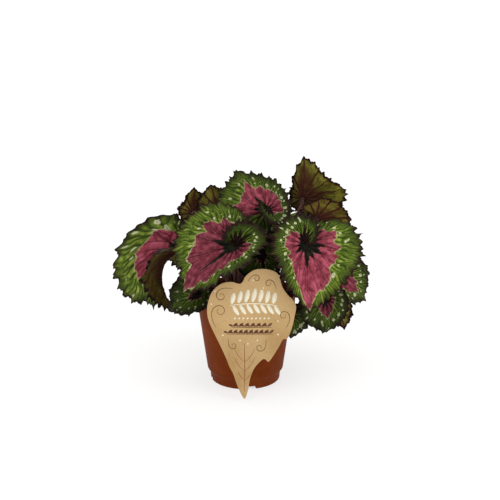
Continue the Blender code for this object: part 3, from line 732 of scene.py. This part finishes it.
# %% Make the stalks
def make_stalk_skin():
    """Living stalk: moist and satin, wine red with long greener flecks, so a fairly low roughness."""
    m, tree, shader = new_material("stalk_skin", 0.5, Specular_IOR_Level=0.25, Sheen_Weight=0.08)
    where = add(tree, "TexCoord", out="Object")
    lengthwise = add(tree, "Mapping", {"Vector": where, "Scale": per_m(1.1111, 1.1111, 6.25)})
    flecks = add(tree, "TexNoise", {"Vector": lengthwise, "Scale": 1.0, "Detail": 3.0})
    patch = add(tree, "TexNoise", {"Vector": where, "Scale": per_m(11.111)})
    skin = layered(tree, "#341010", ("#512019", 1.0, (patch, 0.35, 0.65)), ("#6b4f33", 0.4, (flecks, 0.55, 0.75)))
    finish(tree, shader, skin, flecks, 0.4, 0.4)
    return m


def make_hair_skin():
    """Dry translucent hair: rough, with a little sheen where it catches the light, from wine to straw in colour."""
    m, tree, shader = new_material("stalk_hair", 0.7, Sheen_Weight=0.3)
    where = add(tree, "TexCoord", out="Object")
    patch = add(tree, "TexNoise", {"Vector": where, "Scale": per_m(3.3333)})
    finish(tree, shader, layered(tree, "#6e3e38", ("#94785f", patch)))
    return m


STALK_SKIN, HAIR_SKIN = make_stalk_skin(), make_hair_skin()
PATH_POINTS, STALK_SIDES = 44, 18
stalk_faces = 0
for number, (key, spec) in enumerate(LEAVES.items()):
    path = stalk_path(spec, lower_faces[key], PATH_POINTS)
    thick = 1.6 * MM + 0.016 * spec["length"]
    along = np.linspace(0.0, 1.0, len(path))
    radii = thick * (1.0 - 0.34 * along) + 0.8 * MM * np.exp(-along / 0.05)
    radii[-NECK_RINGS:] = NECK_RADII * thick * 0.9
    radii = radii * (1.0 + 0.03 * np.sin(along * 37.0 + number))
    tube_verts, tube_faces = capped_tube(tube(path, radii, STALK_SIDES))
    path_length = np.sum(np.linalg.norm(np.diff(path, axis=0), axis=1))
    hair_verts, hair_faces = hairs(path, radii, int(HAIRS_PER_M * path_length), HAIR_LENGTH, number)
    obj = piece("stem_" + key, np.concatenate([tube_verts, hair_verts]),
                tube_faces + (len(tube_verts) + hair_faces).tolist(), [STALK_SKIN, HAIR_SKIN],
                ["stalk_" + key], second=slice(len(tube_faces), None))
    stalk_faces += len(obj.data.polygons)
print("stalks:", stalk_faces, "faces")

# %% [markdown]
# ## Crown and peat
# The crown is the knobbly creeping stem the stalks grow from, and the peat is dark, fibrous and crumbly. Sculpting
# would give a good crown once, but a sphere of directions pushed out by noise gives the crown and every crumb alike.
# The peat is a disc on a polar grid raised by three sizes of noise, with loose crumbs strewn over it.

# %% Crown
def knob(centre, half, rows, cols, rough, seed):
    """A lumpy egg: unit sphere directions scaled by the half sizes, times noise."""
    v = np.linspace(-0.5, 0.5, rows) * np.pi
    u = np.linspace(0.0, 2.0 * np.pi, cols, endpoint=False)
    U, V = np.meshgrid(u, v, indexing="ij")
    d = np.stack([np.cos(V) * np.cos(U), np.cos(V) * np.sin(U), np.sin(V)], -1)
    lump = 1.0 + rough * (cloud(d[..., 0] * 3 + 9, d[..., 1] * 3 + d[..., 2] * 2 + 9, seed) - 0.5)
    verts = np.asarray(centre) + d * np.asarray(half) * lump[..., None]
    verts[:, 0], verts[:, -1] = verts[0, 0], verts[0, -1]
    return verts.reshape(-1, 3), grid_quads(cols, rows, wrap=True)


def make_crown_skin():
    """Old stem, dried in the air: brown, scaly and fully matt."""
    m, tree, shader = new_material("crown_skin", 0.75)
    where = add(tree, "TexCoord", out="Object")
    scale = add(tree, "TexNoise", {"Vector": where, "Scale": per_m(3.8462), "Detail": 4.0})
    skin = layered(tree, "#2c140f", ("#63372a", 1.0, (scale, 0.35, 0.65)))
    finish(tree, shader, skin, scale, 0.8, 1)
    return m


crown_low, crown_high = np.array(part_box("crown"))
CROWN_DROP = np.array([0.0, 0.0, 2 * MM])      # how much lower than the source's crown it sits
CROWN_GROWTH = np.array([1.0, 1.0, 1.1])
verts, faces = knob((crown_low + crown_high) / 2.0 - CROWN_DROP, (crown_high - crown_low) / 2.0 * CROWN_GROWTH,
                    18, 36, 0.35, 5)
piece("crown_stock", verts, faces, [make_crown_skin()], ["crown"])
print("crown:", len(faces), "faces")

# %% Peat
soil_low, soil_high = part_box("soil")
PEAT_EDGE = soil_high[0]
FLOOR_EDGE = 37.5 * MM   # radius of the peat where it lies on the pot's floor
LUMPS = ((11 * MM, 1.6), (4 * MM, 1.3), (1.6 * MM, 0.8))   # size and height of the lumps, the height in mm


def make_peat():
    """Damp peat: almost black, brown fibres, fully rough. Its crumbs and fibres are drawn a little coarse."""
    m, tree, shader = new_material("peat", 0.95, Specular_IOR_Level=0.2)
    where = add(tree, "TexCoord", out="Object")
    crumb = add(tree, "TexNoise", {"Vector": where, "Scale": per_m(1.42857), "Detail": 5.0, "Roughness": 0.7})
    fibre = add(tree, "TexVoronoi", {"Vector": where, "Scale": per_m(2.38095)}, feature="F1")
    tone = layered(tree, "#120b07", ("#3a2618", 1.0, (crumb, 0.35, 0.7)), ("#6a4a2c", 0.35, (fibre, 0.25, 0.05)))
    finish(tree, shader, tone, crumb, 1.0, 1.2)
    return m


PEAT = make_peat()
RINGS, SPOKES = 40, 160
r = np.linspace(0.0, 1.0, RINGS) ** 0.7 * (PEAT_EDGE - 0.6 * MM)
th = np.linspace(0.0, 2.0 * np.pi, SPOKES, endpoint=False)
TH, RR = np.meshgrid(th, r, indexing="ij")
X, Y = RR * np.cos(TH), RR * np.sin(TH)
bumps = sum(high * (cloud(X / wide + 31, Y / wide + 31, n) - 0.5) for n, (wide, high) in enumerate(LUMPS))
top = SOIL_TOP + bumps * MM * np.minimum(1.0, RR / (4 * MM)) - 1.2 * MM * (RR / PEAT_EDGE) ** 6
wall = []
for z in np.linspace(SOIL_TOP - 4 * MM, soil_low[2], 5):
    share = (z - soil_low[2]) / (SOIL_TOP - soil_low[2])
    edge = FLOOR_EDGE + (PEAT_EDGE - 1 * MM - FLOOR_EDGE) * share
    wall.append(np.stack([edge * np.cos(th), edge * np.sin(th), 0 * th + z], -1))
underside = np.tile([[[0, 0, soil_low[2]]]], (SPOKES, 1, 1))
verts = np.concatenate([np.stack([X, Y, top], -1), np.stack(wall, 1), underside], 1)
verts[:, 0] = verts[:, 0].mean(0)
faces = grid_quads(SPOKES, verts.shape[1], wrap=True)
piece("peat_fill", verts.reshape(-1, 3), faces, [PEAT], ["soil"])
print("peat:", len(faces), "faces")

# %% Peat crumbs
CRUMBS = 420
rng = np.random.default_rng(3)
crumb_v, crumb_f, total = [], [], 0
for _ in range(CRUMBS):
    a, d, s = rng.uniform(0, 2 * np.pi), np.sqrt(rng.uniform(0.03, 0.93)) * PEAT_EDGE, rng.uniform(0.5, 1.7) * MM
    v, f = knob((d * np.cos(a), d * np.sin(a), SOIL_TOP + 0.2 * s), s * rng.uniform(0.6, 1.2, 3), 5, 7, 0.9,
                int(rng.integers(1000)))
    crumb_v.append(v)
    crumb_f.append(f + total)
    total += len(v)
piece("peat_crumbs", np.concatenate(crumb_v), np.concatenate(crumb_f), [PEAT], [])
print("crumbs:", len(crumb_v), "of", len(crumb_f[0]), "faces")

# %% [markdown]
# ## The nursery pot
# A thin pot moulded in terracotta-brown polypropylene. It could be lathed with a Screw modifier, but the foot's water
# notches break the round. So the wall is a profile of radius and height carried round the axis as a grid, and the
# notches are where the profile's lowest points are raised over a short angle. The drain holes are cut with a Boolean.

# %% Pot shape
POT_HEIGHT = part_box("pot")[1][2]
FOOT_R, LOW_R, HIGH_R, RIM_R = 42 * MM, 46 * MM, 57.5 * MM, 60 * MM   # foot, wall below and above, rim
STEP_Z, RIM_Z, FLOOR_Z = 14 * MM, POT_HEIGHT - 13 * MM, 5.5 * MM      # heights of the step, rim and floor
WALL = 1.6 * MM
NOTCH_ANGLES = [-78.0 + 90.0 * k for k in range(4)]
NOTCH_HALF, NOTCH_HIGH = np.degrees(5 * MM / FOOT_R), 3.8 * MM        # half its width in degrees, and its height
NOTCH_INNER = 30 * MM   # points nearer the axis than this keep their height
CREASE = 38.0           # degrees above which an edge of the pot stays sharp


def wall_radius(z):
    """Radius of the outer wall: straight from the step to the rim."""
    return LOW_R + (HIGH_R - LOW_R) * (z - STEP_Z) / (RIM_Z - STEP_Z)


def pot_profile():
    """Radius and height from the middle of the underside, out, up the wall, over the rim and down inside: worked out
    in mm as steps from the main sizes, then turned to metres."""
    foot, low, high, rim = FOOT_R / MM, LOW_R / MM, HIGH_R / MM, RIM_R / MM
    step, lip, floor, top, wall = STEP_Z / MM, RIM_Z / MM, FLOOR_Z / MM, POT_HEIGHT / MM, WALL / MM
    up = [(wall_radius(z * MM) / MM, z) for z in np.linspace(step + 0.8, lip - 0.6, 26)]
    down = [(wall_radius(z * MM) / MM - wall, z) for z in np.linspace(lip - 2.0, step + 2.0, 26)]
    arc = [(rim - 0.8 + 1.2 * np.cos(a), top - 1.2 + 1.2 * np.sin(a))
           for a in np.radians((0, 25, 50, 75, 100, 130, 160))]
    return np.array([(0.0, 0.0), (9.6, 0.0), (10.1, 0.4), (11.8, floor - 0.4), (12.4, floor), (16.0, floor),
                     (foot - 5.6, floor), (foot - 5.0, floor - 0.6), (foot - 4.6, 0.4), (foot - 4.1, 0.0),
                     (foot - 1.2, 0.0), (foot - 0.3, 0.3), (foot, 1.0), (foot + 0.8, step - 4.2),
                     (foot + 1.4, step - 3.0), (low - 1.0, step - 0.6), (low - 0.2, step)]
                    + up + [(high, lip), (rim - 0.6, lip), (rim, lip + 0.6), (rim + 0.2, lip + 6.0)] + arc
                    + [(rim - 2.2, top - 3.0), (wall_radius(RIM_Z) / MM - wall, lip - 1.0)] + down
                    + [(foot - 1.0, step - 1.5), (foot - 2.5, floor + 3.5), (foot - 4.0, floor + wall),
                       (16.0, floor + wall), (11.0, floor + wall), (9.0, wall), (0.0, wall)]) * MM


def pot_angles():
    """Even steps, with a pair of close columns at each side of each notch so that its ends are sharp."""
    even = np.arange(0.0, 360.0, 2.25)
    sharp = [n + s * (NOTCH_HALF + d) for n in NOTCH_ANGLES for s in (-1, 1) for d in (-0.02, 0.02)]
    return np.unique(np.mod(np.concatenate([even, sharp]), 360.0))


profile, degrees = pot_profile(), pot_angles()
R, A = np.meshgrid(profile[:, 0], np.radians(degrees))
Z = np.tile(profile[:, 1], (len(degrees), 1))
for n in NOTCH_ANGLES:
    off = np.abs((degrees - n + 180.0) % 360.0 - 180.0)
    inside = (off < NOTCH_HALF)[:, None] & (Z < NOTCH_HIGH) & (R > NOTCH_INNER)
    Z = np.where(inside, NOTCH_HIGH, Z)
verts = np.stack([R * np.cos(A), R * np.sin(A), Z], -1).reshape(-1, 3)
print("pot grid:", len(degrees), "by", len(profile), "points")


# %% Pot plastic
def make_pot_plastic():
    """Polypropylene, injection moulded in a textured tool: satin, terracotta brown, faintly mottled and rubbed in
    long streaks. The texture of the tool is drawn at half a millimetre so that it shows."""
    m, tree, shader = new_material("pot_polypropylene", 0.62, Specular_IOR_Level=0.07)
    where = add(tree, "TexCoord", out="Object")
    height = add(tree, "SeparateXYZ", {0: where}, out="Z")
    mottle = add(tree, "TexNoise", {"Vector": where, "Scale": per_m(16.6667), "Detail": 4.0})
    upright = add(tree, "Mapping", {"Vector": where, "Scale": per_m(2.0, 2.0, 45.4545)})
    streaks = add(tree, "TexNoise", {"Vector": upright, "Scale": 1.0, "Detail": 3.0})
    tone = layered(tree, "#652702",
                   ("#713004", 1.0, (height, 0.0, 95 * MM)),
                   ("#7b3b0a", 0.35, (mottle, 0.42, 0.7)),
                   ("#5a290d", 0.35, (streaks, 0.55, 0.8)))
    rough = add(tree, "MapRange", {0: streaks, 1: 0.3, 2: 0.7, 3: 0.55, 4: 0.70})
    tree.links.new(rough, shader.inputs["Roughness"])
    grain = add(tree, "TexNoise", {"Vector": where, "Scale": per_m(0.55556), "Detail": 2.0})
    finish(tree, shader, tone, grain, 0.25, 0.2)
    return m


pot = piece("pot_shell", verts, grid_quads(len(degrees), len(profile), wrap=True), [make_pot_plastic()],
            ["pot"], crease=CREASE)
print("pot:", len(pot.data.polygons), "faces")

# %% Drain holes
DRAIN_RADIUS, DRAIN_PLACE, DRAIN_DEPTH = 4.5 * MM, 24 * MM, 6 * MM   # a hole's radius, how far out, cutter's depth
DRAIN_ANGLES = [-33.0 + 90.0 * k for k in range(4)]
mesh = bmesh.new()
mesh.from_mesh(pot.data)
bmesh.ops.remove_doubles(mesh, verts=mesh.verts, dist=1e-6)
bmesh.ops.recalc_face_normals(mesh, faces=mesh.faces)
mesh.to_mesh(pot.data)
mesh.free()
for a in np.radians(DRAIN_ANGLES):
    place = (DRAIN_PLACE * np.cos(a), DRAIN_PLACE * np.sin(a), FLOOR_Z)
    bpy.ops.mesh.primitive_cylinder_add(vertices=32, radius=DRAIN_RADIUS, depth=DRAIN_DEPTH, location=place)
    cutter = bpy.context.object
    cut = pot.modifiers.new("drain", "BOOLEAN")
    cut.operation, cut.solver, cut.object = "DIFFERENCE", "EXACT", cutter
    bpy.context.view_layer.objects.active = pot
    bpy.ops.object.modifier_apply(modifier="drain")
    bpy.data.objects.remove(cutter)
print("drain holes:", len(DRAIN_ANGLES), "and the pot now has", len(pot.data.polygons), "faces")

# %% [markdown]
# ## The card tag
# A die-cut leaf of brown kraft card, about 0.8 mm thick. A filled curve would do for the shape, but its triangles
# would be long slivers. Here its edge goes through a few chosen points on a smooth closed curve, and both faces are
# rings of that edge drawn in towards the middle, so the card is one closed grid.

# %% Card shape
CARD_TILT = 0.144            # how far it leans back for each unit of height
CARD_THICK = 0.8 * MM
CARD_FOOT = np.array([0.0, -77.5 * MM, 4 * MM])   # where its pointed lower end stands
CARD_MIDDLE = np.array([2.0, 96.0])               # across and up, in mm, as the edge is
CARD_EDGE = [(-1, 0), (3, 9), (6, 25), (11, 37), (20, 47), (24, 47), (28, 45), (38, 60), (44, 71), (49, 72),
             (54, 84), (57, 97), (59, 110), (55, 118), (49, 124), (43, 133), (40, 143), (36, 150), (24, 154),
             (11, 153), (1, 146), (-5, 137), (-16, 139), (-27, 137), (-36, 130), (-41, 121), (-44, 106), (-41, 90),
             (-28, 62), (-21, 46), (-19, 40), (-14, 30), (-8, 13)]
CARD_RINGS = np.array([1.0, 0.985, 0.9, 0.75, 0.5, 0.25, 0.0])   # shares of the edge, from the rim to the middle
RIM_ROUND = 0.12 * MM        # how far the cut edge is rounded off on each side
EDGE_STEPS = 6               # points on the smooth edge for each chosen one
CARD_CREASE = 40.0           # degrees above which an edge of the card stays sharp
CARD_ACROSS = np.array([1.0, 0.0, 0.0])
CARD_UP = unit((0.0, CARD_TILT, 1.0))
CARD_BACK = unit((0.0, 1.0, -CARD_TILT))


def on_card(uv_mm, depth):
    """A point of the card in space: its foot, plus so far across and up, in mm, plus so far behind, in metres."""
    uv = np.asarray(uv_mm, float) * MM
    return (CARD_FOOT + uv[..., :1] * CARD_ACROSS + uv[..., 1:2] * CARD_UP
            + np.asarray(depth)[..., None] * CARD_BACK)


def closed_curve(points, per):
    """A smooth closed curve through the points: between two of them, the Catmull-Rom cubic of the four around."""
    p = np.asarray(points, float)
    t = np.linspace(0.0, 1.0, per, endpoint=False)[None, :, None]
    a, b, c, d = (np.roll(p, k, 0)[:, None] for k in (1, 0, -1, -2))
    return (0.5 * (2 * b + (c - a) * t + (2 * a - 5 * b + 4 * c - d) * t ** 2
                   + (3 * b - 3 * c + d - a) * t ** 3)).reshape(-1, 2)


outer = closed_curve(CARD_EDGE, EDGE_STEPS)
depths = np.zeros(len(CARD_RINGS))
depths[0] = RIM_ROUND
front = CARD_MIDDLE + (outer[:, None] - CARD_MIDDLE) * CARD_RINGS[None, :, None]
card_grid = np.concatenate([on_card(front[:, ::-1], depths[::-1]), on_card(front, CARD_THICK - depths)], 1)
print("card:", np.ptp(outer, axis=0).round(0), "mm across and up")


# %% Kraft card
def make_kraft():
    """Kraft card, rolled from wood pulp: matt and warm brown, with short darker and paler fibres and a soft drift of
    tone. Its top is lighter: painted light. Its fibres are drawn about a millimetre wide so that they show."""
    m, tree, shader = new_material("kraft_card", 0.82, Specular_IOR_Level=0.3)
    where = add(tree, "TexCoord", out="Object")
    height = add(tree, "SeparateXYZ", {0: where}, out="Z")
    drift = add(tree, "TexNoise", {"Vector": where, "Scale": per_m(45.4545), "Detail": 3.0})
    laid = add(tree, "Mapping", {"Vector": where, "Rotation": (0.3, 0.5, 0.2),
                                 "Scale": per_m(1.1111, 1.1111, 3.8462)})
    fibre = add(tree, "TexNoise", {"Vector": laid, "Scale": 1.0, "Detail": 4.0})
    tone = layered(tree, "#a98755",
                   ("#b9996a", 1.0, (drift, 0.35, 0.65)),
                   # paler towards the top: painted light
                   ("#d3b07c", 0.75, (height, 55 * MM, 135 * MM)),
                   ("#8d6f45", 0.5, (fibre, 0.58, 0.72)),
                   ("#c7ab7c", 0.4, (fibre, 0.42, 0.28)))
    finish(tree, shader, tone, fibre, 0.3, 0.2)
    return m


card = piece("kraft_tag", card_grid.reshape(-1, 3), grid_quads(len(outer), card_grid.shape[1], wrap=True),
             [make_kraft()], ["tag_card"], crease=CARD_CREASE)
print("tag:", len(card.data.polygons), "faces")

# %% [markdown]
# ## The print
# The card carries a plain print of its own: leaf veins, curls, a sprig, two twigs and dots. A texture would need an
# image, so each line is a thin ribbon of ink just proud of the card, carried along a path that turns as it goes.

# %% Ink
INK_LIFT, INK_SINK = 0.06 * MM, 0.1 * MM   # the ink's top above the card's face, and its back below it


def ribbon(points, width_mm):
    """A line on the card, tapering to its ends: two edges of a strip just proud of the face, with a closed back."""
    p = np.asarray(points, float)
    d = np.gradient(p, axis=0)
    d = d / np.linalg.norm(d, axis=1, keepdims=True)
    n = np.stack([-d[:, 1], d[:, 0]], -1)
    w = width_mm / 2.0 * (0.35 + 0.65 * np.sin(np.linspace(0.05, 0.95, len(p)) * np.pi))[:, None]
    loop = np.stack([p - n * w, p + n * w], 1)
    return np.concatenate([on_card(loop, -INK_LIFT), on_card(loop[:, ::-1], INK_SINK)], 1)


def curl(start, angle, turn, length, count=36, power=2.2):
    """A line on the card, in mm and degrees: it starts at an angle and has turned by turn times share ** power, so
    power 1 gives a plain arc, and a higher one a line that turns ever faster and ends in a small coil."""
    s = np.linspace(0.0, 1.0, count)
    a = np.radians(angle + turn * s ** power)
    return np.asarray(start) + np.cumsum(np.stack([np.cos(a), np.sin(a)], -1), 0) * length / (count - 1)


def leaflet(start, angle, length, wide):
    """A filled pointed leaflet: a fat ribbon along a short arc."""
    return ribbon(curl(start, angle, 14.0, length, 18, 1), wide)


def ink_piece(name, strips, colour, worn, rough):
    """All strips as one piece. Printing ink on card is matt, and worn nearly to the card's tone in specks."""
    verts, faces, total = [], [], 0
    for g in strips:
        rows, cols = g.shape[:2]
        idx = total + np.arange(rows * cols).reshape(rows, cols)
        faces += ring_quads(idx)[:, ::-1].tolist() + [idx[0].tolist(), idx[-1, ::-1].tolist()]
        verts.append(g.reshape(-1, 3))
        total += rows * cols
    m, tree, shader = new_material(name + "_ink", rough)
    where = add(tree, "TexCoord", out="Object")
    wear = add(tree, "TexNoise", {"Vector": where, "Scale": per_m(0.666667), "Detail": 3.0})
    finish(tree, shader, layered(tree, colour, (worn, 1.0, (wear, 0.62, 0.8))))
    piece(name, np.concatenate(verts), faces, [m], [])
    print(name, "has", len(strips), "strips")


# %% Veins and curls
veins = [ribbon(curl((-1, 6), 88, 4, 58, 24, 1), 0.9)]
for side in (-1, 1):
    for v, length in ((22, 13), (33, 20), (44, 20)):
        veins.append(ribbon(curl((-0.5, v), 90 - side * 52, side * 34, length, 24, 1), 0.6))
ink_piece("tag_veins", veins, "#8c4f36", "#a97a52", 0.8)
swirls = [curl((-33, 84), 118, -430, 58), curl((-13, 131), 172, 420, 46), curl((47, 84), 60, 410, 42),
          curl((36, 129), 98, 400, 32), curl((-19, 73), 262, 400, 29), curl((24, 72), 275, -400, 34),
          curl((3, 139), 60, -420, 30)]
ink_piece("tag_swirls", [ribbon(line, 1.0) for line in swirls], "#7d5f38", "#9a7b4c", 0.8)

# %% Sprig, dashes and dots
SPRIG_LEFT, SPRIG_LENGTH = -19, 56
cream = [ribbon(curl((SPRIG_LEFT, 111), 10, -20, SPRIG_LENGTH, 40, 1), 1.3)]
for k in range(7):
    x = SPRIG_LEFT + 3 + 8.0 * k
    y = 112.4 + 2.4 * np.sin((x - SPRIG_LEFT) / SPRIG_LENGTH * np.pi)
    cream += [leaflet((x, y), 70, 16 - abs(k - 3), 5.6), leaflet((x + 2.0, y - 1.2), -66, 12.5, 4.6)]
cream += [ribbon(curl((u, 95.0), 40, 0, 2.6, 8, 1), 1.7) for u in np.linspace(-13, 26, 9)]
dots = [(-26, 76), (14, 70), (21, 132), (-35, 128), (9, 141), (-6, 70), (38, 93), (-39, 113), (3, 66), (38, 77)]
cream += [ribbon(curl((u - 0.8, v), 0, 0, 1.6, 8, 1), 1.9) for u, v in dots]
ink_piece("tag_sprig", cream, "#f2e9cf", "#d8c69b", 0.75)

# %% Twigs
brown = []
for v, left, right, count in ((86.5, -14, 26, 7), (78.5, -20, 28, 9)):
    for u in np.linspace(left, right, count):
        brown += [leaflet((u, v), 32, 6.0, 2.9), leaflet((u, v), 148, 5.0, 2.5)]
    brown.append(ribbon(curl((left - 3, v - 1.2), 1, -2, right - left + 6, 30, 1), 0.9))
ink_piece("tag_twig", brown, "#6b4227", "#8a6238", 0.8)

# %% [markdown]
# ## The stake
# A flat strip of tan polypropylene pushed into the peat. A scaled cube with loop cuts would do, but its edges would
# be sharp. So a rectangle with cut corners is carried up along the same bends as in the source, and its head lies on
# the back of the card.

# %% Stake
STAKE_LINE = np.array([(-46.2 * MM, SOIL_TOP - 4 * MM), (-47 * MM, 112 * MM), (-50 * MM, 128 * MM),
                       (-56.8 * MM, 140 * MM), (-55.65 * MM, 148 * MM)])    # depth and height of its front face
STAKE_SECTION = np.array([(11.0, 0.3), (11.3, 0.0), (16.7, 0.0), (17.0, 0.3), (17.0, 0.9), (16.7, 1.2), (11.3, 1.2),
                          (11.0, 0.9)]) * MM                                # across and behind the front face
STAKE_RINGS, STAKE_CREASE = 33, 35.0   # rings along it, and degrees above which an edge stays sharp


def make_stake_plastic():
    """Polypropylene cut from drawn strip: satin and tan, clouded, with a fine haze of scratches drawn coarse."""
    m, tree, shader = new_material("stake_polypropylene", 0.5)
    where = add(tree, "TexCoord", out="Object")
    cloudy = add(tree, "TexNoise", {"Vector": where, "Scale": per_m(8.3333)})
    grain = add(tree, "TexNoise", {"Vector": where, "Scale": per_m(0.666667)})
    finish(tree, shader, layered(tree, "#a88a4e", ("#c0a266", cloudy)), grain, 0.2, 0.2)
    return m


stops = np.arange(len(STAKE_LINE))
s = np.linspace(0, stops[-1], STAKE_RINGS)
depth, height = (np.interp(s, stops, STAKE_LINE[:, k])[:, None] for k in (0, 1))
across, behind = STAKE_SECTION.T
rings = np.stack([across + 0 * depth, depth + behind, height + 0 * across], -1)
verts, faces = capped_tube(rings)
stake = piece("tag_strip", verts, faces, [make_stake_plastic()], ["tag_stake"], crease=STAKE_CREASE)
print("stake:", len(stake.data.polygons), "faces")

# %% [markdown]
# ## Floor, light and camera
# The plant stands on pale matt paper. One strong lamp would throw a hard shadow under every leaf, so a white world
# lights it from all round, the paper glows a little to stay near white, and two large soft lamps shape the leaves: a
# weak one from the upper left and a stronger one from the right. A long lens, a little above, keeps the pot upright.

# %% Floor and world
FLOOR_HALF = 12.0   # metres, far past the edge of any view
FLOOR_GLOW, WORLD_LIGHT = 0.66, 0.95
floor_mesh = bpy.data.meshes.new("floor")
corners = [(x * FLOOR_HALF, y * FLOOR_HALF, 0) for x, y in ((-1, -1), (1, -1), (1, 1), (-1, 1))]
floor_mesh.from_pydata(corners, [], [(0, 1, 2, 3)])
floor = bpy.data.objects.new("floor", floor_mesh)
paper, tree, shader = new_material("pale_floor", 0.9)
shader.inputs["Base Color"].default_value = linear("#a6a5a4")
shader.inputs["Emission Color"].default_value = linear("#ffffff")
shader.inputs["Emission Strength"].default_value = FLOOR_GLOW
floor_mesh.materials.append(paper)
bpy.context.scene.collection.objects.link(floor)
world = bpy.data.worlds.new("soft_room")
bpy.context.scene.world = world
world.use_nodes = True
world.node_tree.nodes["Background"].inputs[0].default_value = linear("#ffffff")
world.node_tree.nodes["Background"].inputs[1].default_value = WORLD_LIGHT
print("floor:", 2 * FLOOR_HALF, "m square")


# %% Lamps and camera
def put(name, data, place, aim):
    """Puts a lamp or camera at a place, turned so that its -Z axis points at the aim."""
    obj = bpy.data.objects.new(name, data)
    obj.location = place
    obj.rotation_euler = (Vector(aim) - Vector(place)).to_track_quat("-Z", "Y").to_euler()
    bpy.context.scene.collection.objects.link(obj)
    return obj


LAMP_AIM = (0, 0, 0.15)
for name, place, size, watts in (("lamp_left", (-0.7, -1.0, 1.3), 0.8, 2.4),
                                 ("lamp_right", (1.0, -0.8, 1.1), 0.9, 4.2)):
    lamp = bpy.data.lights.new(name, "AREA")
    lamp.size, lamp.energy = size, watts
    put(name, lamp, place, LAMP_AIM)

CAMERA_AIM = np.array([0.0057, 0.0, 0.162])
CAMERA_RISE, CAMERA_DISTANCE, CAMERA_LENS = np.radians(17.5), 1.5, 90.7   # angle, metres, mm
eye = CAMERA_AIM + CAMERA_DISTANCE * np.array([0.0, -np.cos(CAMERA_RISE), np.sin(CAMERA_RISE)])
lens = bpy.data.cameras.new("camera")
lens.sensor_width, lens.lens = 36.0, CAMERA_LENS
camera = put("camera", lens, eye, CAMERA_AIM)
bpy.context.scene.camera = camera
bpy.context.scene.view_settings.view_transform = "Standard"
print("camera at", np.round(eye, 3))
